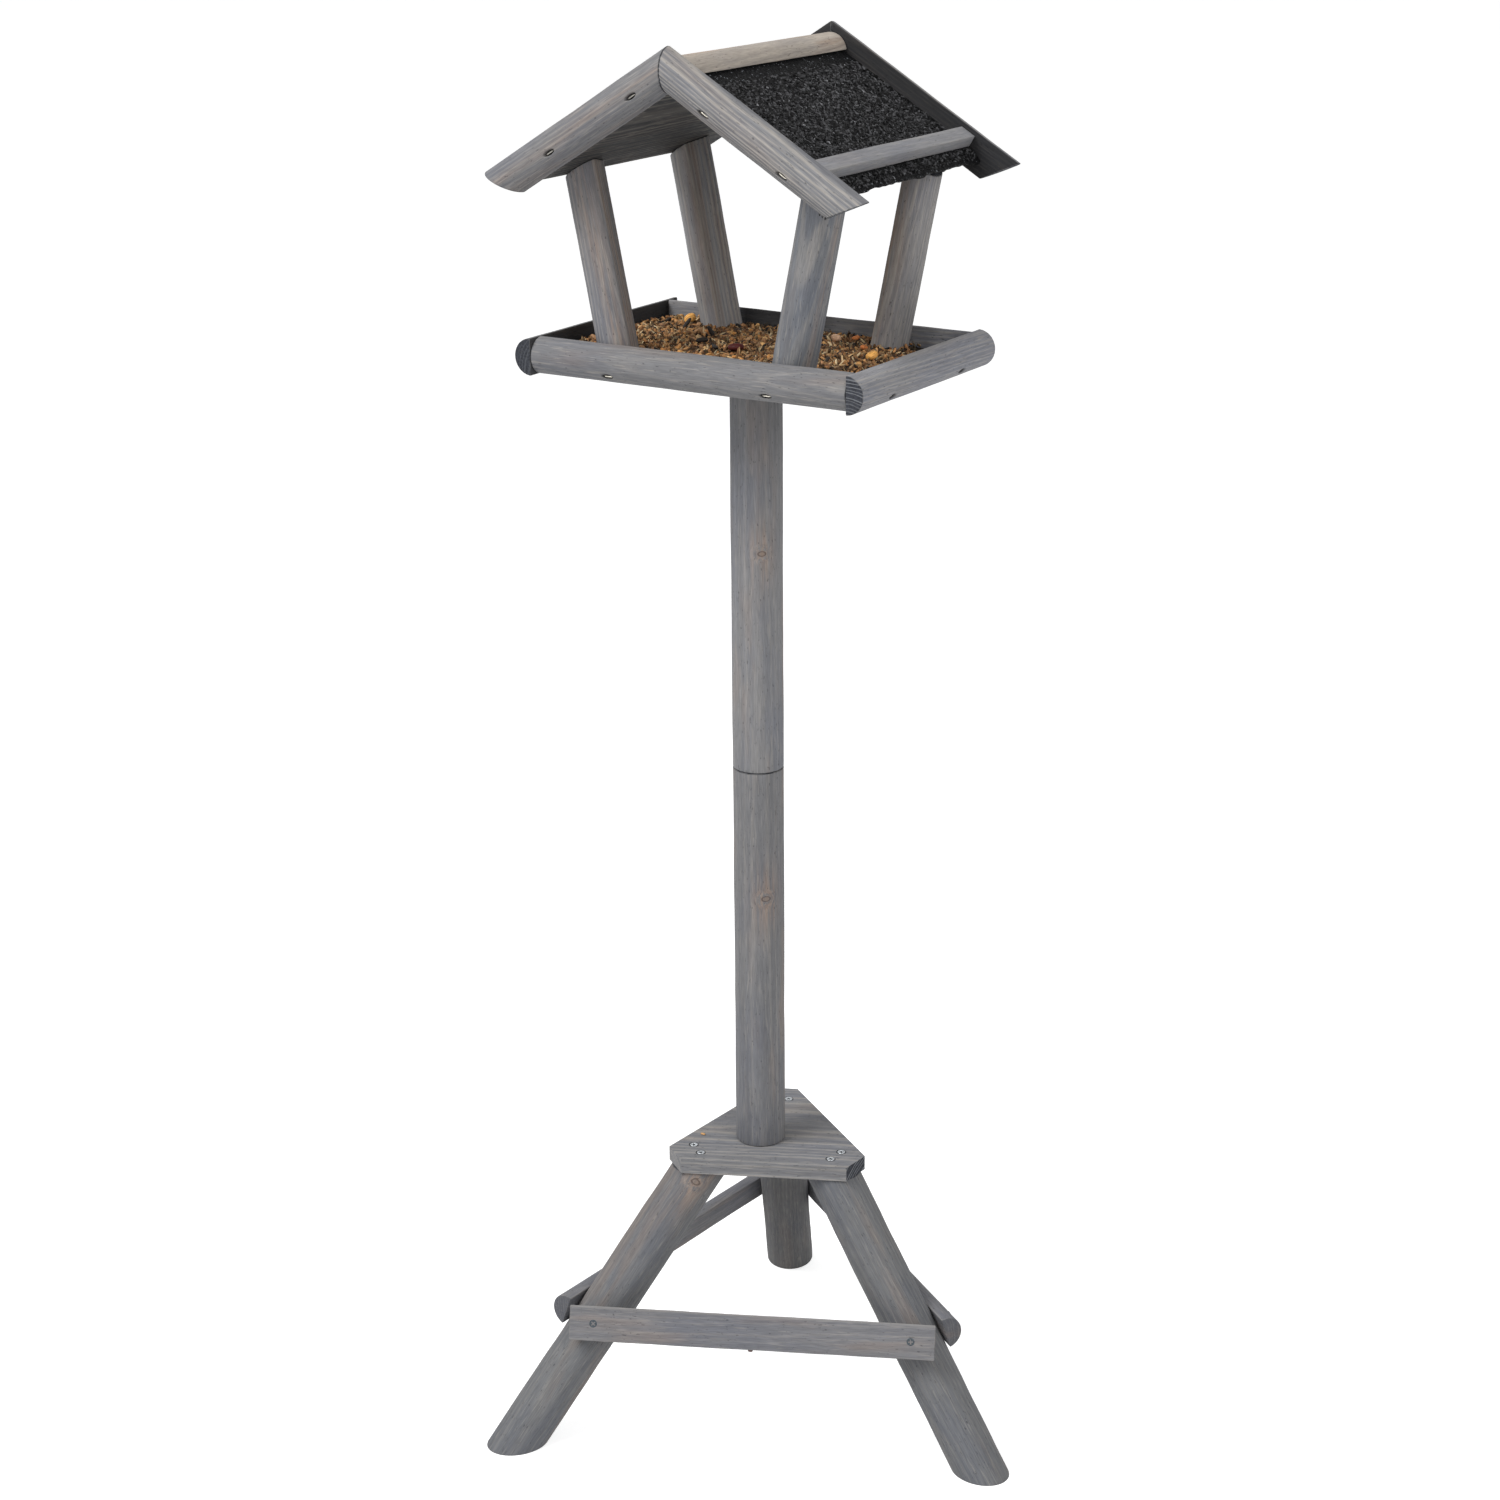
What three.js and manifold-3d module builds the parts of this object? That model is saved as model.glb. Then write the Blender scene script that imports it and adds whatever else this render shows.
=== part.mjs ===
// Bird table of grey stained timber: a tripod stand with three leaning legs, a post in two
// halves, a tray with half round rails, four leaning pillars and a felted gable roof.
// Millimetres, Z up. X runs along the gables, Y along the ridge, and the front gable faces -Y.
// Every piece is one solid of its own, and fasteners sit in bores and slots cut for them.

import * as THREE from 'three';
import { mergeVertices } from 'three/addons/utils/BufferGeometryUtils.js';
import Module from 'manifold-3d';

const wasm = await Module();
wasm.setup();

// Clearances between pieces that touch, and around fasteners
const seatGap = 0.3;
const boreGap = 0.25;
const cutOverrun = 5;

// Half round slats, used for rails, braces, gable boards and the ridge batten
const slatWidth = 28;
const slatThickness = 14;

// Tripod stand: the legs lean outward from under a three cornered plate
const legDiameter = 41;
const legHeight = 222;
const legTopSpread = 60;
const legFootSpread = 219;
const standTurn = THREE.MathUtils.degToRad(25);
const plateThickness = 12;
const plateReach = 85;
const plateCornerWidth = 26;
const plateShiftX = 5;
const plateShiftY = 8;
const plateScrewSpread = 65.5;
const plateScrewPitch = 15;
const braceOverhang = 19.5;
const braceHeight = 99;

// Post in two halves, joined end to end by a dowel screw
const postDiameter = 40;
const lowerPostLength = 323;
const upperPostLength = 313;
const dowelDiameter = 8;
const dowelLength = 60;
const dowelPointLength = 6;

// Tray
const floorWidth = 270;
const floorDepth = 171;
const floorThickness = 12;
const frontStapleSpread = 68;
const sideStapleSpread = 52;

// Pillars: round poles with one planed flat, turned toward the middle of the tray
const pillarDiameter = 32;
const pillarDepth = 27;
const pillarFootSpread = 73;
const pillarLean = THREE.MathUtils.degToRad(11.6);
const pillarTurn = THREE.MathUtils.degToRad(18);

// Seed heap on the tray floor: a low hill left of the middle, which thins out toward one corner.
// Its larger kernels lie half sunk on it.
const seedEdgeDepth = 2;
const seedCrownDepth = 7.2;
const seedThinDepth = 0.6;
const seedMargin = 1.2;
const seedCrownLeft = 34;
const seedCrownFront = 2;
const seedHillReachX = 95;
const seedHillReachY = 62;
const seedBareReach = 34;
const seedBareFade = 60;
const seedLumpHeight = 0.5;
const seedLumpLength = 8;
const kernelLength = 8;
const kernelWidth = 5.4;
const kernelHeight = 3.2;

// Roof, measured along each slope from the ridge and square to it
const roofPitch = THREE.MathUtils.degToRad(31);
const roofOverhang = 10.2;
const ridgeRise = 202;
const ridgeOpening = 6;
const roofBoardThickness = 13;
const roofBoardEave = 129.5;
const feltThickness = 2;
const feltOverhang = 14;
const eaveBattenWidth = 13;
const eaveBattenHeight = 9;
const ridgeBattenHeight = 12.5;
const gableBoardReach = 149;
const gableEndCut = THREE.MathUtils.degToRad(53);
const gableStapleUpper = { left: 22, right: 36 };
const gableStapleLower = { left: 105, right: 109 };
const gableStapleLift = { left: 10.5, right: 8.6 };

// Countersunk wood screws
const screwHeadDiameter = 8;
const screwHeadDepth = 3;
const screwRimDepth = 0.6;
const screwShankDiameter = 4;
const screwPointLength = 6;
const plateScrewLength = 40;
const braceScrewLength = 35;
const postScrewLength = 50;
const recessSpan = 4.4;
const recessSlot = 1.1;
const recessDepth = 1.6;

// Staples: a flat wire crown and two legs, driven below the rounded face
const stapleCrown = 9;
const stapleWire = 1.2;
const stapleLegLength = 20;
const stapleSink = 1.2;
const stapleRecessWidth = 3;

// Smoothness of round faces, in flat steps
const poleSides = 40;
const arcSteps = 10;
const screwSides = 16;
const seedStepsX = 36;
const seedStepsY = 24;

// Spread of the kernels: an even scatter, each turned by the golden angle
const kernelCount = 90;
const scatterShares = [0.7548776662, 0.569840291];
const goldenTurn = Math.PI * (3 - Math.sqrt(5));

// Colours as linear looking paint tints, one per material
const colourOf = {
  wood: 0x80828a,
  woodWarm: 0x8c857c,
  woodDark: 0x6d6f74,
  felt: 0x2d2e30,
  steel: 0xb9bcc0,
  seed: 0x9a7a50,
};

// Derived heights
const plateUnder = legHeight;
const plateTop = plateUnder + plateThickness;
const lowerPostFoot = plateTop + seatGap;
const jointHeight = lowerPostFoot + lowerPostLength;
const upperPostFoot = jointHeight + seatGap;
const floorUnder = upperPostFoot + upperPostLength + seatGap;
const floorTop = floorUnder + floorThickness;
const ridgeHeight = floorTop + ridgeRise;

// The side rails reach over the ends of the front and back rails, and the roof reaches past both
const trayDepth = floorDepth + 2 * (slatThickness + seatGap);
const roofLength = trayDepth + 2 * roofOverhang;

const X = new THREE.Vector3(1, 0, 0);
const Y = new THREE.Vector3(0, 1, 0);
const Z = new THREE.Vector3(0, 0, 1);

const point = (x, y, z) => new THREE.Vector3(x, y, z);
const blend = (a, ka, b, kb) => a.clone().multiplyScalar(ka).addScaledVector(b, kb);

// The plate and the leg tops sit a little off the middle of the ring of feet
const plateMiddle = point(plateShiftX, plateShiftY, 0);

// A closed geometry as a solid: shared corners merged, collapsed triangles left out
function solidOf(geometry) {
  const bare = new THREE.BufferGeometry();
  bare.setAttribute('position', geometry.attributes.position);
  bare.setIndex(geometry.index);
  const merged = mergeVertices(bare);
  const corners = merged.index.array;
  const kept = [];
  for (let i = 0; i < corners.length; i += 3) {
    const [a, b, c] = [corners[i], corners[i + 1], corners[i + 2]];
    if (a !== b && b !== c && c !== a) kept.push(a, b, c);
  }
  const vertProperties = merged.attributes.position.array;
  const triVerts = Uint32Array.from(kept);
  return new wasm.Manifold(new wasm.Mesh({ numProp: 3, vertProperties, triVerts }));
}

// A solid back as a geometry for a mesh
function geometryOf(solid) {
  const mesh = solid.getMesh();
  const geometry = new THREE.BufferGeometry();
  geometry.setAttribute('position', new THREE.BufferAttribute(mesh.vertProperties, 3));
  geometry.setIndex(new THREE.BufferAttribute(mesh.triVerts, 1));
  geometry.computeVertexNormals();
  return geometry;
}

// Turn a geometry so that its own X lies across, its own Y out, and its own Z along
function laid(geometry, across, out, origin) {
  const along = across.clone().cross(out);
  const frame = new THREE.Matrix4().makeBasis(across, out, along).setPosition(origin);
  return geometry.applyMatrix4(frame);
}

// A round cut off by a flat: the flat lies on y = 0 and the round rises to y = depth
function flattenedRound(radius, depth) {
  const centre = depth - radius;
  const halfChord = Math.sqrt(radius ** 2 - centre ** 2);
  const start = Math.atan2(-centre, halfChord);
  const outline = new THREE.Shape();
  outline.absarc(0, centre, radius, start, Math.PI - start, false);
  return outline;
}

// A straight bar of the given outline, centred on its own length
function bar(outline, length) {
  const options = { depth: length, bevelEnabled: false, curveSegments: arcSteps };
  return new THREE.ExtrudeGeometry(outline, options).translate(0, 0, -length / 2);
}

// A slat flat on one side and round on the other; its round follows from width and height
function slat(length, height = slatThickness) {
  const radius = (slatWidth ** 2 / 4 + height ** 2) / (2 * height);
  return bar(flattenedRound(radius, height), length);
}

// A round pole about the Z axis, centred on its own length
function pole(diameter, length) {
  const radius = diameter / 2;
  return new THREE.CylinderGeometry(radius, radius, length, poleSides).rotateX(Math.PI / 2);
}

// A rectangular block between two corners
function block(low, high) {
  const size = high.clone().sub(low);
  const middle = low.clone().add(high).multiplyScalar(0.5);
  return new THREE.BoxGeometry(size.x, size.y, size.z).translate(middle.x, middle.y, middle.z);
}

// Everything within a reach of the Z axis that lies between two heights
function slab(reach, low, high) {
  return solidOf(block(point(-reach, -reach, low), point(reach, reach, high)));
}

// A countersunk screw along -Y, its head flush at y = 0; grow widens it into a bore
function screwProfile(length, grow) {
  const head = screwHeadDiameter / 2 + grow;
  const shank = screwShankDiameter / 2 + grow;
  const lift = grow > 0 ? cutOverrun : 0;
  return [
    new THREE.Vector2(0, -length - grow),
    new THREE.Vector2(shank, -length + screwPointLength),
    new THREE.Vector2(shank, -screwHeadDepth),
    new THREE.Vector2(head, -screwRimDepth - grow),
    new THREE.Vector2(head, lift),
    new THREE.Vector2(0, lift),
  ];
}

function screwBody(length, grow) {
  return new THREE.LatheGeometry(screwProfile(length, grow), screwSides);
}

// Cross shaped driver recess, cut from the head down
function crossRecess() {
  const half = recessSpan / 2;
  const slot = recessSlot / 2;
  const top = cutOverrun;
  const one = solidOf(block(point(-half, -recessDepth, -slot), point(half, top, slot)));
  const other = solidOf(block(point(-slot, -recessDepth, -half), point(slot, top, half)));
  return one.add(other);
}

// Move a solid as laid() moves a geometry: its Y goes out, its X across
function laidSolid(solid, across, out, origin) {
  return solidOf(laid(geometryOf(solid), across, out, origin));
}

// A screw driven from head inward: out points away from the wood
function screwAt(length, head, across, out) {
  const body = solidOf(screwBody(length, 0)).subtract(crossRecess());
  return {
    solid: laidSolid(body, across, out, head),
    bore: solidOf(laid(screwBody(length, boreGap), across, out, head)),
  };
}

// A staple in its own plane: crown along X at y = 0, legs going to -Y
function stapleOutline(crown, wire, leg) {
  const half = crown / 2;
  const outline = new THREE.Shape();
  outline.moveTo(-half, 0);
  outline.lineTo(-half, -leg);
  outline.lineTo(-half + wire, -leg);
  outline.lineTo(-half + wire, -wire);
  outline.lineTo(half - wire, -wire);
  outline.lineTo(half - wire, -leg);
  outline.lineTo(half, -leg);
  outline.lineTo(half, 0);
  outline.closePath();
  return outline;
}

// Slots for a staple's legs with the recess that its crown lies in
function stapleCut() {
  const half = stapleCrown / 2 + boreGap;
  const wire = stapleWire / 2 + boreGap;
  const inner = stapleCrown / 2 - stapleWire - boreGap;
  const deep = -stapleLegLength - boreGap;
  const left = solidOf(block(point(-half, deep, -wire), point(-inner, 0, wire)));
  const right = solidOf(block(point(inner, deep, -wire), point(half, 0, wire)));
  const wide = stapleRecessWidth / 2;
  const low = -stapleWire - boreGap;
  const recess = solidOf(block(point(-half, low, -wide), point(half, cutOverrun, wide)));
  return left.add(right).add(recess);
}

// A staple whose crown lies along the given direction, driven against out
function stapleAt(crownMiddle, along, out) {
  const outline = stapleOutline(stapleCrown, stapleWire, stapleLegLength);
  const wireBar = bar(outline, stapleWire);
  return {
    solid: solidOf(laid(wireBar, along, out, crownMiddle)),
    bore: laidSolid(stapleCut(), along, out, crownMiddle),
  };
}

// Depth below the crown of a rounded face at a place beside its middle line
function roundDrop(beside) {
  const radius = (slatWidth ** 2 / 4 + slatThickness ** 2) / (2 * slatThickness);
  return radius - Math.sqrt(radius ** 2 - beside ** 2);
}

const cutAll = (solid, cuts) => cuts.reduce((rest, cut) => rest.subtract(cut), solid);

// Materials, one new one for each piece
function woodLook(tint) {
  return new THREE.MeshStandardMaterial({ color: tint, roughness: 0.85, metalness: 0 });
}
const feltLook = () => new THREE.MeshStandardMaterial({ color: colourOf.felt, roughness: 1 });
const seedLook = () => new THREE.MeshStandardMaterial({ color: colourOf.seed, roughness: 0.8 });
function steelLook() {
  return new THREE.MeshStandardMaterial({ color: colourOf.steel, roughness: 0.35, metalness: 1 });
}

function addPiece(group, name, solid, look) {
  const piece = new THREE.Mesh(geometryOf(solid), look);
  piece.name = name;
  group.add(piece);
}

// Each leg's axis runs from the ring of feet on the ground up to its corner of the plate
function legAxes() {
  const turns = [-5 / 6, -1 / 6, 1 / 2].map((share) => share * Math.PI + standTurn);
  return turns.map((turn) => {
    const radial = point(Math.cos(turn), Math.sin(turn), 0);
    const foot = radial.clone().multiplyScalar(legFootSpread);
    const top = plateMiddle.clone().addScaledVector(radial, legTopSpread).setZ(legHeight);
    const axis = top.clone().sub(foot).normalize();
    return { radial, foot, top, axis, cuts: [] };
  });
}

// Tripod stand: plate with its screws, three legs and three braces
function buildStand() {
  const stand = new THREE.Group();
  const legNames = ['front_left', 'front_right', 'rear'];
  const legs = legAxes();
  const plateCuts = [];
  legs.forEach(({ radial, cuts }, leg) => {
    const beside = Z.clone().cross(radial);
    [-1, 1].forEach((hand, index) => {
      const head = blend(radial, plateScrewSpread, beside, (hand * plateScrewPitch) / 2);
      head.add(plateMiddle).setZ(plateTop);
      const screw = screwAt(plateScrewLength, head, beside, Z);
      addPiece(stand, `plate_screw_${legNames[leg]}_${index + 1}`, screw.solid, steelLook());
      plateCuts.push(screw.bore);
      cuts.push(screw.bore);
    });
  });
  buildBraces(stand, legs, legNames);
  legs.forEach((leg, index) => {
    const solid = cutAll(leaningLeg(leg), leg.cuts);
    addPiece(stand, `leg_${legNames[index]}`, solid, woodLook(colourOf.wood));
  });

  const footScrewHead = point(0, 0, plateUnder);
  const footScrew = screwAt(postScrewLength, footScrewHead, X, Z.clone().negate());
  addPiece(stand, 'post_foot_screw', footScrew.solid, steelLook());
  const plate = cutAll(standPlate(legs), [...plateCuts, footScrew.bore]);
  addPiece(stand, 'tripod_plate', plate, woodLook(colourOf.wood));
  return { stand, footBore: footScrew.bore };
}

// A round leg, cut flat on the ground and flat under the plate
function leaningLeg({ radial, foot, top, axis }) {
  const beside = Z.clone().cross(radial);
  const out = axis.clone().cross(beside).normalize();
  const across = out.clone().cross(axis);
  const middle = top.clone().add(foot).multiplyScalar(0.5);
  const long = top.distanceTo(foot) + 2 * legDiameter;
  const round = solidOf(laid(pole(legDiameter, long), across, out, middle));
  const reach = legFootSpread + legHeight;
  return round.intersect(slab(reach, 0, legHeight - seatGap));
}

// Three cornered plate with cut corners over the legs
function standPlate(legs) {
  const outline = new THREE.Shape();
  legs.forEach(({ radial }, corner) => {
    const beside = Z.clone().cross(radial);
    [-1, 1].forEach((hand) => {
      const at = blend(radial, plateReach, beside, (hand * plateCornerWidth) / 2);
      at.add(plateMiddle);
      if (corner === 0 && hand === -1) outline.moveTo(at.x, at.y);
      else outline.lineTo(at.x, at.y);
    });
  });
  return solidOf(bar(outline, plateThickness).translate(0, 0, (plateUnder + plateTop) / 2));
}

// Braces lie flat on the outer side of two neighbouring legs and tip back as the legs do.
// The front one shows its flat side, the other two their round side.
function buildBraces(stand, legs, legNames) {
  const names = ['front', 'right', 'left'];
  names.forEach((name, index) => {
    const next = (index + 1) % legs.length;
    const ends = [index, next].map((leg) => {
      const { foot, axis } = legs[leg];
      return foot.clone().addScaledVector(axis, braceHeight / axis.z);
    });
    const along = ends[1].clone().sub(ends[0]).normalize();
    const rise = legs[index].axis.clone().add(legs[next].axis);
    const out = along.clone().cross(rise).normalize();
    const up = out.clone().cross(along);
    const twist = Math.abs(out.dot(legs[index].axis)) + Math.abs(out.dot(legs[next].axis));
    const clear = legDiameter / 2 + seatGap + (twist * slatWidth) / 2;
    const inner = blend(ends[0], 1 / 2, ends[1], 1 / 2).addScaledVector(out, clear);
    const outer = inner.clone().addScaledVector(out, slatThickness);
    const roundIn = name === 'front';
    const flatAt = roundIn ? outer : inner;
    const roundTo = roundIn ? out.clone().negate() : out;
    const cuts = [];
    [index, next].forEach((leg, end) => {
      const head = ends[end].clone().addScaledVector(out, clear + slatThickness);
      const screw = screwAt(braceScrewLength, head, along, out);
      addPiece(stand, `brace_screw_${name}_${legNames[leg]}`, screw.solid, steelLook());
      cuts.push(screw.bore);
      legs[leg].cuts.push(screw.bore);
    });
    const length = ends[0].distanceTo(ends[1]) + 2 * braceOverhang;
    const wood = solidOf(laid(slat(length), up, roundTo, flatAt));
    addPiece(stand, `brace_${name}`, cutAll(wood, cuts), woodLook(colourOf.wood));
  });
}

// Dowel screw along Z with a point at each end; grow widens it into a bore
function dowelBody(grow) {
  const radius = dowelDiameter / 2 + grow;
  const half = dowelLength / 2;
  const profile = [
    new THREE.Vector2(0, -half - grow),
    new THREE.Vector2(radius, -half + dowelPointLength),
    new THREE.Vector2(radius, half - dowelPointLength),
    new THREE.Vector2(0, half + grow),
  ];
  return new THREE.LatheGeometry(profile, screwSides).rotateX(Math.PI / 2);
}

// Post halves stand end to end between the plate and the tray floor
function buildPost(footBore) {
  const post = new THREE.Group();
  const jointMiddle = jointHeight + seatGap / 2;
  const topScrewHead = point(0, 0, floorTop);
  const topScrew = screwAt(postScrewLength, topScrewHead, X, Z);
  const dowelBore = solidOf(dowelBody(boreGap).translate(0, 0, jointMiddle));
  const lowerMiddle = lowerPostFoot + lowerPostLength / 2;
  const upperMiddle = upperPostFoot + upperPostLength / 2;
  const lower = solidOf(pole(postDiameter, lowerPostLength).translate(0, 0, lowerMiddle));
  const upper = solidOf(pole(postDiameter, upperPostLength).translate(0, 0, upperMiddle));
  addPiece(post, 'post_lower', cutAll(lower, [dowelBore, footBore]), woodLook(colourOf.wood));
  addPiece(post, 'post_upper', cutAll(upper, [dowelBore, topScrew.bore]), woodLook(colourOf.wood));
  const dowel = solidOf(dowelBody(0).translate(0, 0, jointMiddle));
  addPiece(post, 'post_dowel_screw', dowel, steelLook());
  addPiece(post, 'post_top_screw', topScrew.solid, steelLook());
  return { post, topBore: topScrew.bore };
}

// A rail against one edge of the floor: flat side in, underside level with the floor's
function railAt(out, edge, length, stapleSpread) {
  const flatAt = out.clone().multiplyScalar(edge + seatGap).setZ(floorUnder + slatWidth / 2);
  const along = Z.clone().cross(out);
  const stapleHeight = floorUnder + floorThickness / 2;
  const drop = roundDrop(slatWidth / 2 - floorThickness / 2);
  const crownOut = edge + seatGap + slatThickness - drop - stapleSink;
  const staples = [-1, 1].map((hand) => {
    const crown = blend(out, crownOut, along, hand * stapleSpread).setZ(stapleHeight);
    return stapleAt(crown, along, out);
  });
  const wood = solidOf(laid(slat(length), Z, out, flatAt));
  return { solid: cutAll(wood, staples.map((one) => one.bore)), staples };
}

// Tray floor with four rails: the side rails run past the ends of the front and back rails
function buildTray(topBore) {
  const tray = new THREE.Group();
  const rails = [
    { name: 'front', out: Y.clone().negate(), edge: floorDepth / 2, spread: frontStapleSpread },
    { name: 'back', out: Y.clone(), edge: floorDepth / 2, spread: frontStapleSpread },
    { name: 'left', out: X.clone().negate(), edge: floorWidth / 2, spread: sideStapleSpread },
    { name: 'right', out: X.clone(), edge: floorWidth / 2, spread: sideStapleSpread },
  ];
  const floorCuts = [topBore];
  rails.forEach(({ name, out, edge, spread }) => {
    const length = Math.abs(out.x) > 0 ? trayDepth : floorWidth;
    const { solid, staples } = railAt(out, edge, length, spread);
    addPiece(tray, `rail_${name}`, solid, woodLook(colourOf.wood));
    staples.forEach((staple, index) => {
      addPiece(tray, `rail_staple_${name}_${index + 1}`, staple.solid, steelLook());
      floorCuts.push(staple.bore);
    });
  });
  const half = point(floorWidth / 2, floorDepth / 2, 0);
  const low = half.clone().negate().setZ(floorUnder);
  const board = solidOf(block(low, half.setZ(floorTop)));
  addPiece(tray, 'tray_floor', cutAll(board, floorCuts), woodLook(colourOf.woodDark));
  return tray;
}

// One pillar as an endless leaning bar about its axis, grown all round for a hole.
// Its flat faces inward and its round outward.
function pillarBar(side, end, grow) {
  const radius = pillarDiameter / 2 + grow;
  const depth = pillarDepth + 2 * grow;
  const footY = end * (floorDepth / 2 - seatGap - pillarDiameter / 2);
  const foot = point(side * pillarFootSpread, footY, floorTop);
  const axis = blend(X, side * Math.sin(pillarLean), Z, Math.cos(pillarLean));
  const inward = blend(X, -side * Math.cos(pillarTurn), Y, -end * Math.sin(pillarTurn));
  const across = axis.clone().cross(inward).normalize();
  const out = axis.clone().cross(across);
  const origin = foot.addScaledVector(out, -(pillarDepth - pillarDiameter / 2 + grow));
  return laid(bar(flattenedRound(radius, depth), 4 * ridgeRise), across, out, origin);
}

// Space under both roof boards, from their undersides down to the tray floor
function underRoof() {
  const apex = ridgeHeight - seatGap / Math.cos(roofPitch);
  const base = floorTop + seatGap;
  const half = (apex - base) / Math.tan(roofPitch);
  const outline = new THREE.Shape();
  outline.moveTo(-half, base);
  outline.lineTo(half, base);
  outline.lineTo(0, apex);
  outline.closePath();
  return solidOf(laid(bar(outline, 2 * roofLength), X, Z, point(0, 0, 0)));
}

// Four pillars between the tray floor and the roof boards
function buildPillars() {
  const pillars = new THREE.Group();
  const room = underRoof();
  [['front', -1], ['back', 1]].forEach(([endName, end]) => {
    [['left', -1], ['right', 1]].forEach(([sideName, side]) => {
      const solid = solidOf(pillarBar(side, end, 0)).intersect(room);
      addPiece(pillars, `pillar_${endName}_${sideName}`, solid, woodLook(colourOf.woodWarm));
    });
  });
  return pillars;
}

// Depth of the seed at a place on the floor: hill and lumps, thinner near the bare corner
function seedDepth(x, y) {
  const fallX = ((x + seedCrownLeft) / seedHillReachX) ** 2;
  const fallY = ((y + seedCrownFront) / seedHillReachY) ** 2;
  const hill = (seedCrownDepth - seedEdgeDepth) * Math.exp(-fallX - fallY);
  const wave = x / seedLumpLength + Math.sin(y / seedLumpLength);
  const lumps = seedLumpHeight * Math.sin(wave) * Math.cos(y / seedLumpLength);
  const beside = Math.hypot(floorWidth / 2 - x, floorDepth / 2 - y);
  const cover = THREE.MathUtils.clamp((beside - seedBareReach) / seedBareFade, 0, 1);
  return Math.max((seedEdgeDepth + hill + lumps) * cover, seedThinDepth);
}

// The larger kernels, spread evenly wherever the seed lies deep enough to hold them
function seedKernels(halfX, halfY) {
  const kernels = [];
  for (let i = 1; i <= kernelCount; i += 1) {
    const [shareX, shareY] = scatterShares.map((share) => 2 * ((i * share) % 1) - 1);
    const x = shareX * (halfX - kernelLength / 2);
    const y = shareY * (halfY - kernelLength / 2);
    const depth = seedDepth(x, y);
    if (depth > kernelHeight) {
      const kernel = new THREE.IcosahedronGeometry(1, 0);
      kernel.scale(kernelLength / 2, kernelWidth / 2, kernelHeight / 2);
      kernels.push(solidOf(kernel.rotateZ(i * goldenTurn).translate(x, y, depth)));
    }
  }
  return kernels;
}

// Low heap of seed with its larger kernels, cut free of the pillars
function buildSeed() {
  const halfX = floorWidth / 2 - seedMargin;
  const halfY = floorDepth / 2 - seedMargin;
  const size = [2 * halfX, 2 * halfY, seedEdgeDepth, seedStepsX, seedStepsY, 1];
  const heap = new THREE.BoxGeometry(...size).translate(0, 0, seedEdgeDepth / 2);
  const place = heap.attributes.position;
  for (let i = 0; i < place.count; i += 1) {
    if (place.getZ(i) > 0) place.setZ(i, seedDepth(place.getX(i), place.getY(i)));
  }
  const lumpy = seedKernels(halfX, halfY).reduce((all, one) => all.add(one), solidOf(heap));
  const holes = [-1, 1].flatMap((end) => [-1, 1].map((side) => pillarBar(side, end, seatGap)));
  return cutAll(lumpy.translate([0, 0, floorTop + seatGap]), holes.map(solidOf));
}

// A place on one slope: s down the slope from the ridge, n square to it, y along the ridge
function onSlope(side, s, n, y) {
  const x = side * (s * Math.cos(roofPitch) + n * Math.sin(roofPitch));
  const z = ridgeHeight - s * Math.sin(roofPitch) + n * Math.cos(roofPitch);
  return point(x, y, z);
}

const downSlope = (side) => blend(X, side * Math.cos(roofPitch), Z, -Math.sin(roofPitch));
const offSlope = (side) => blend(X, side * Math.sin(roofPitch), Z, Math.cos(roofPitch));

// A flat strip on one slope, between two distances down it and two heights off it
function stripOnSlope(side, sFrom, sTo, nFrom, nTo, length) {
  const outline = new THREE.Shape();
  outline.moveTo(-(sTo - sFrom) / 2, 0);
  outline.lineTo((sTo - sFrom) / 2, 0);
  outline.lineTo((sTo - sFrom) / 2, nTo - nFrom);
  outline.lineTo(-(sTo - sFrom) / 2, nTo - nFrom);
  outline.closePath();
  const origin = onSlope(side, (sFrom + sTo) / 2, nFrom, 0);
  return solidOf(laid(bar(outline, length), downSlope(side), offSlope(side), origin));
}

const boardStart = ridgeOpening / 2 / Math.cos(roofPitch);
const feltUnder = roofBoardThickness + seatGap;
const feltUpper = feltUnder + feltThickness;

// Height of the boards' upper corners beside the ridge, which carry felt and ridge batten
const cornerHeight = onSlope(1, boardStart, roofBoardThickness, 0).z;

// Felt is one sheet: down both slopes, and straight across the opening between the boards
function feltSheet() {
  const eave = roofBoardEave + feltOverhang;
  const bendAt = (n, z) => (ridgeHeight + n / Math.cos(roofPitch) - z) / Math.tan(roofPitch);
  const under = cornerHeight + seatGap;
  const over = under + feltThickness;
  const lowIn = onSlope(1, eave, feltUnder, 0);
  const lowOut = onSlope(1, eave, feltUpper, 0);
  const right = [
    [bendAt(feltUnder, under), under],
    [lowIn.x, lowIn.z],
    [lowOut.x, lowOut.z],
    [bendAt(feltUpper, over), over],
  ];
  const left = right.map(([x, z]) => [-x, z]).reverse();
  const outline = new THREE.Shape([...right, ...left].map(([x, z]) => new THREE.Vector2(x, z)));
  return solidOf(laid(bar(outline, roofLength - seatGap), X, Z, point(0, 0, 0)));
}

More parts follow.
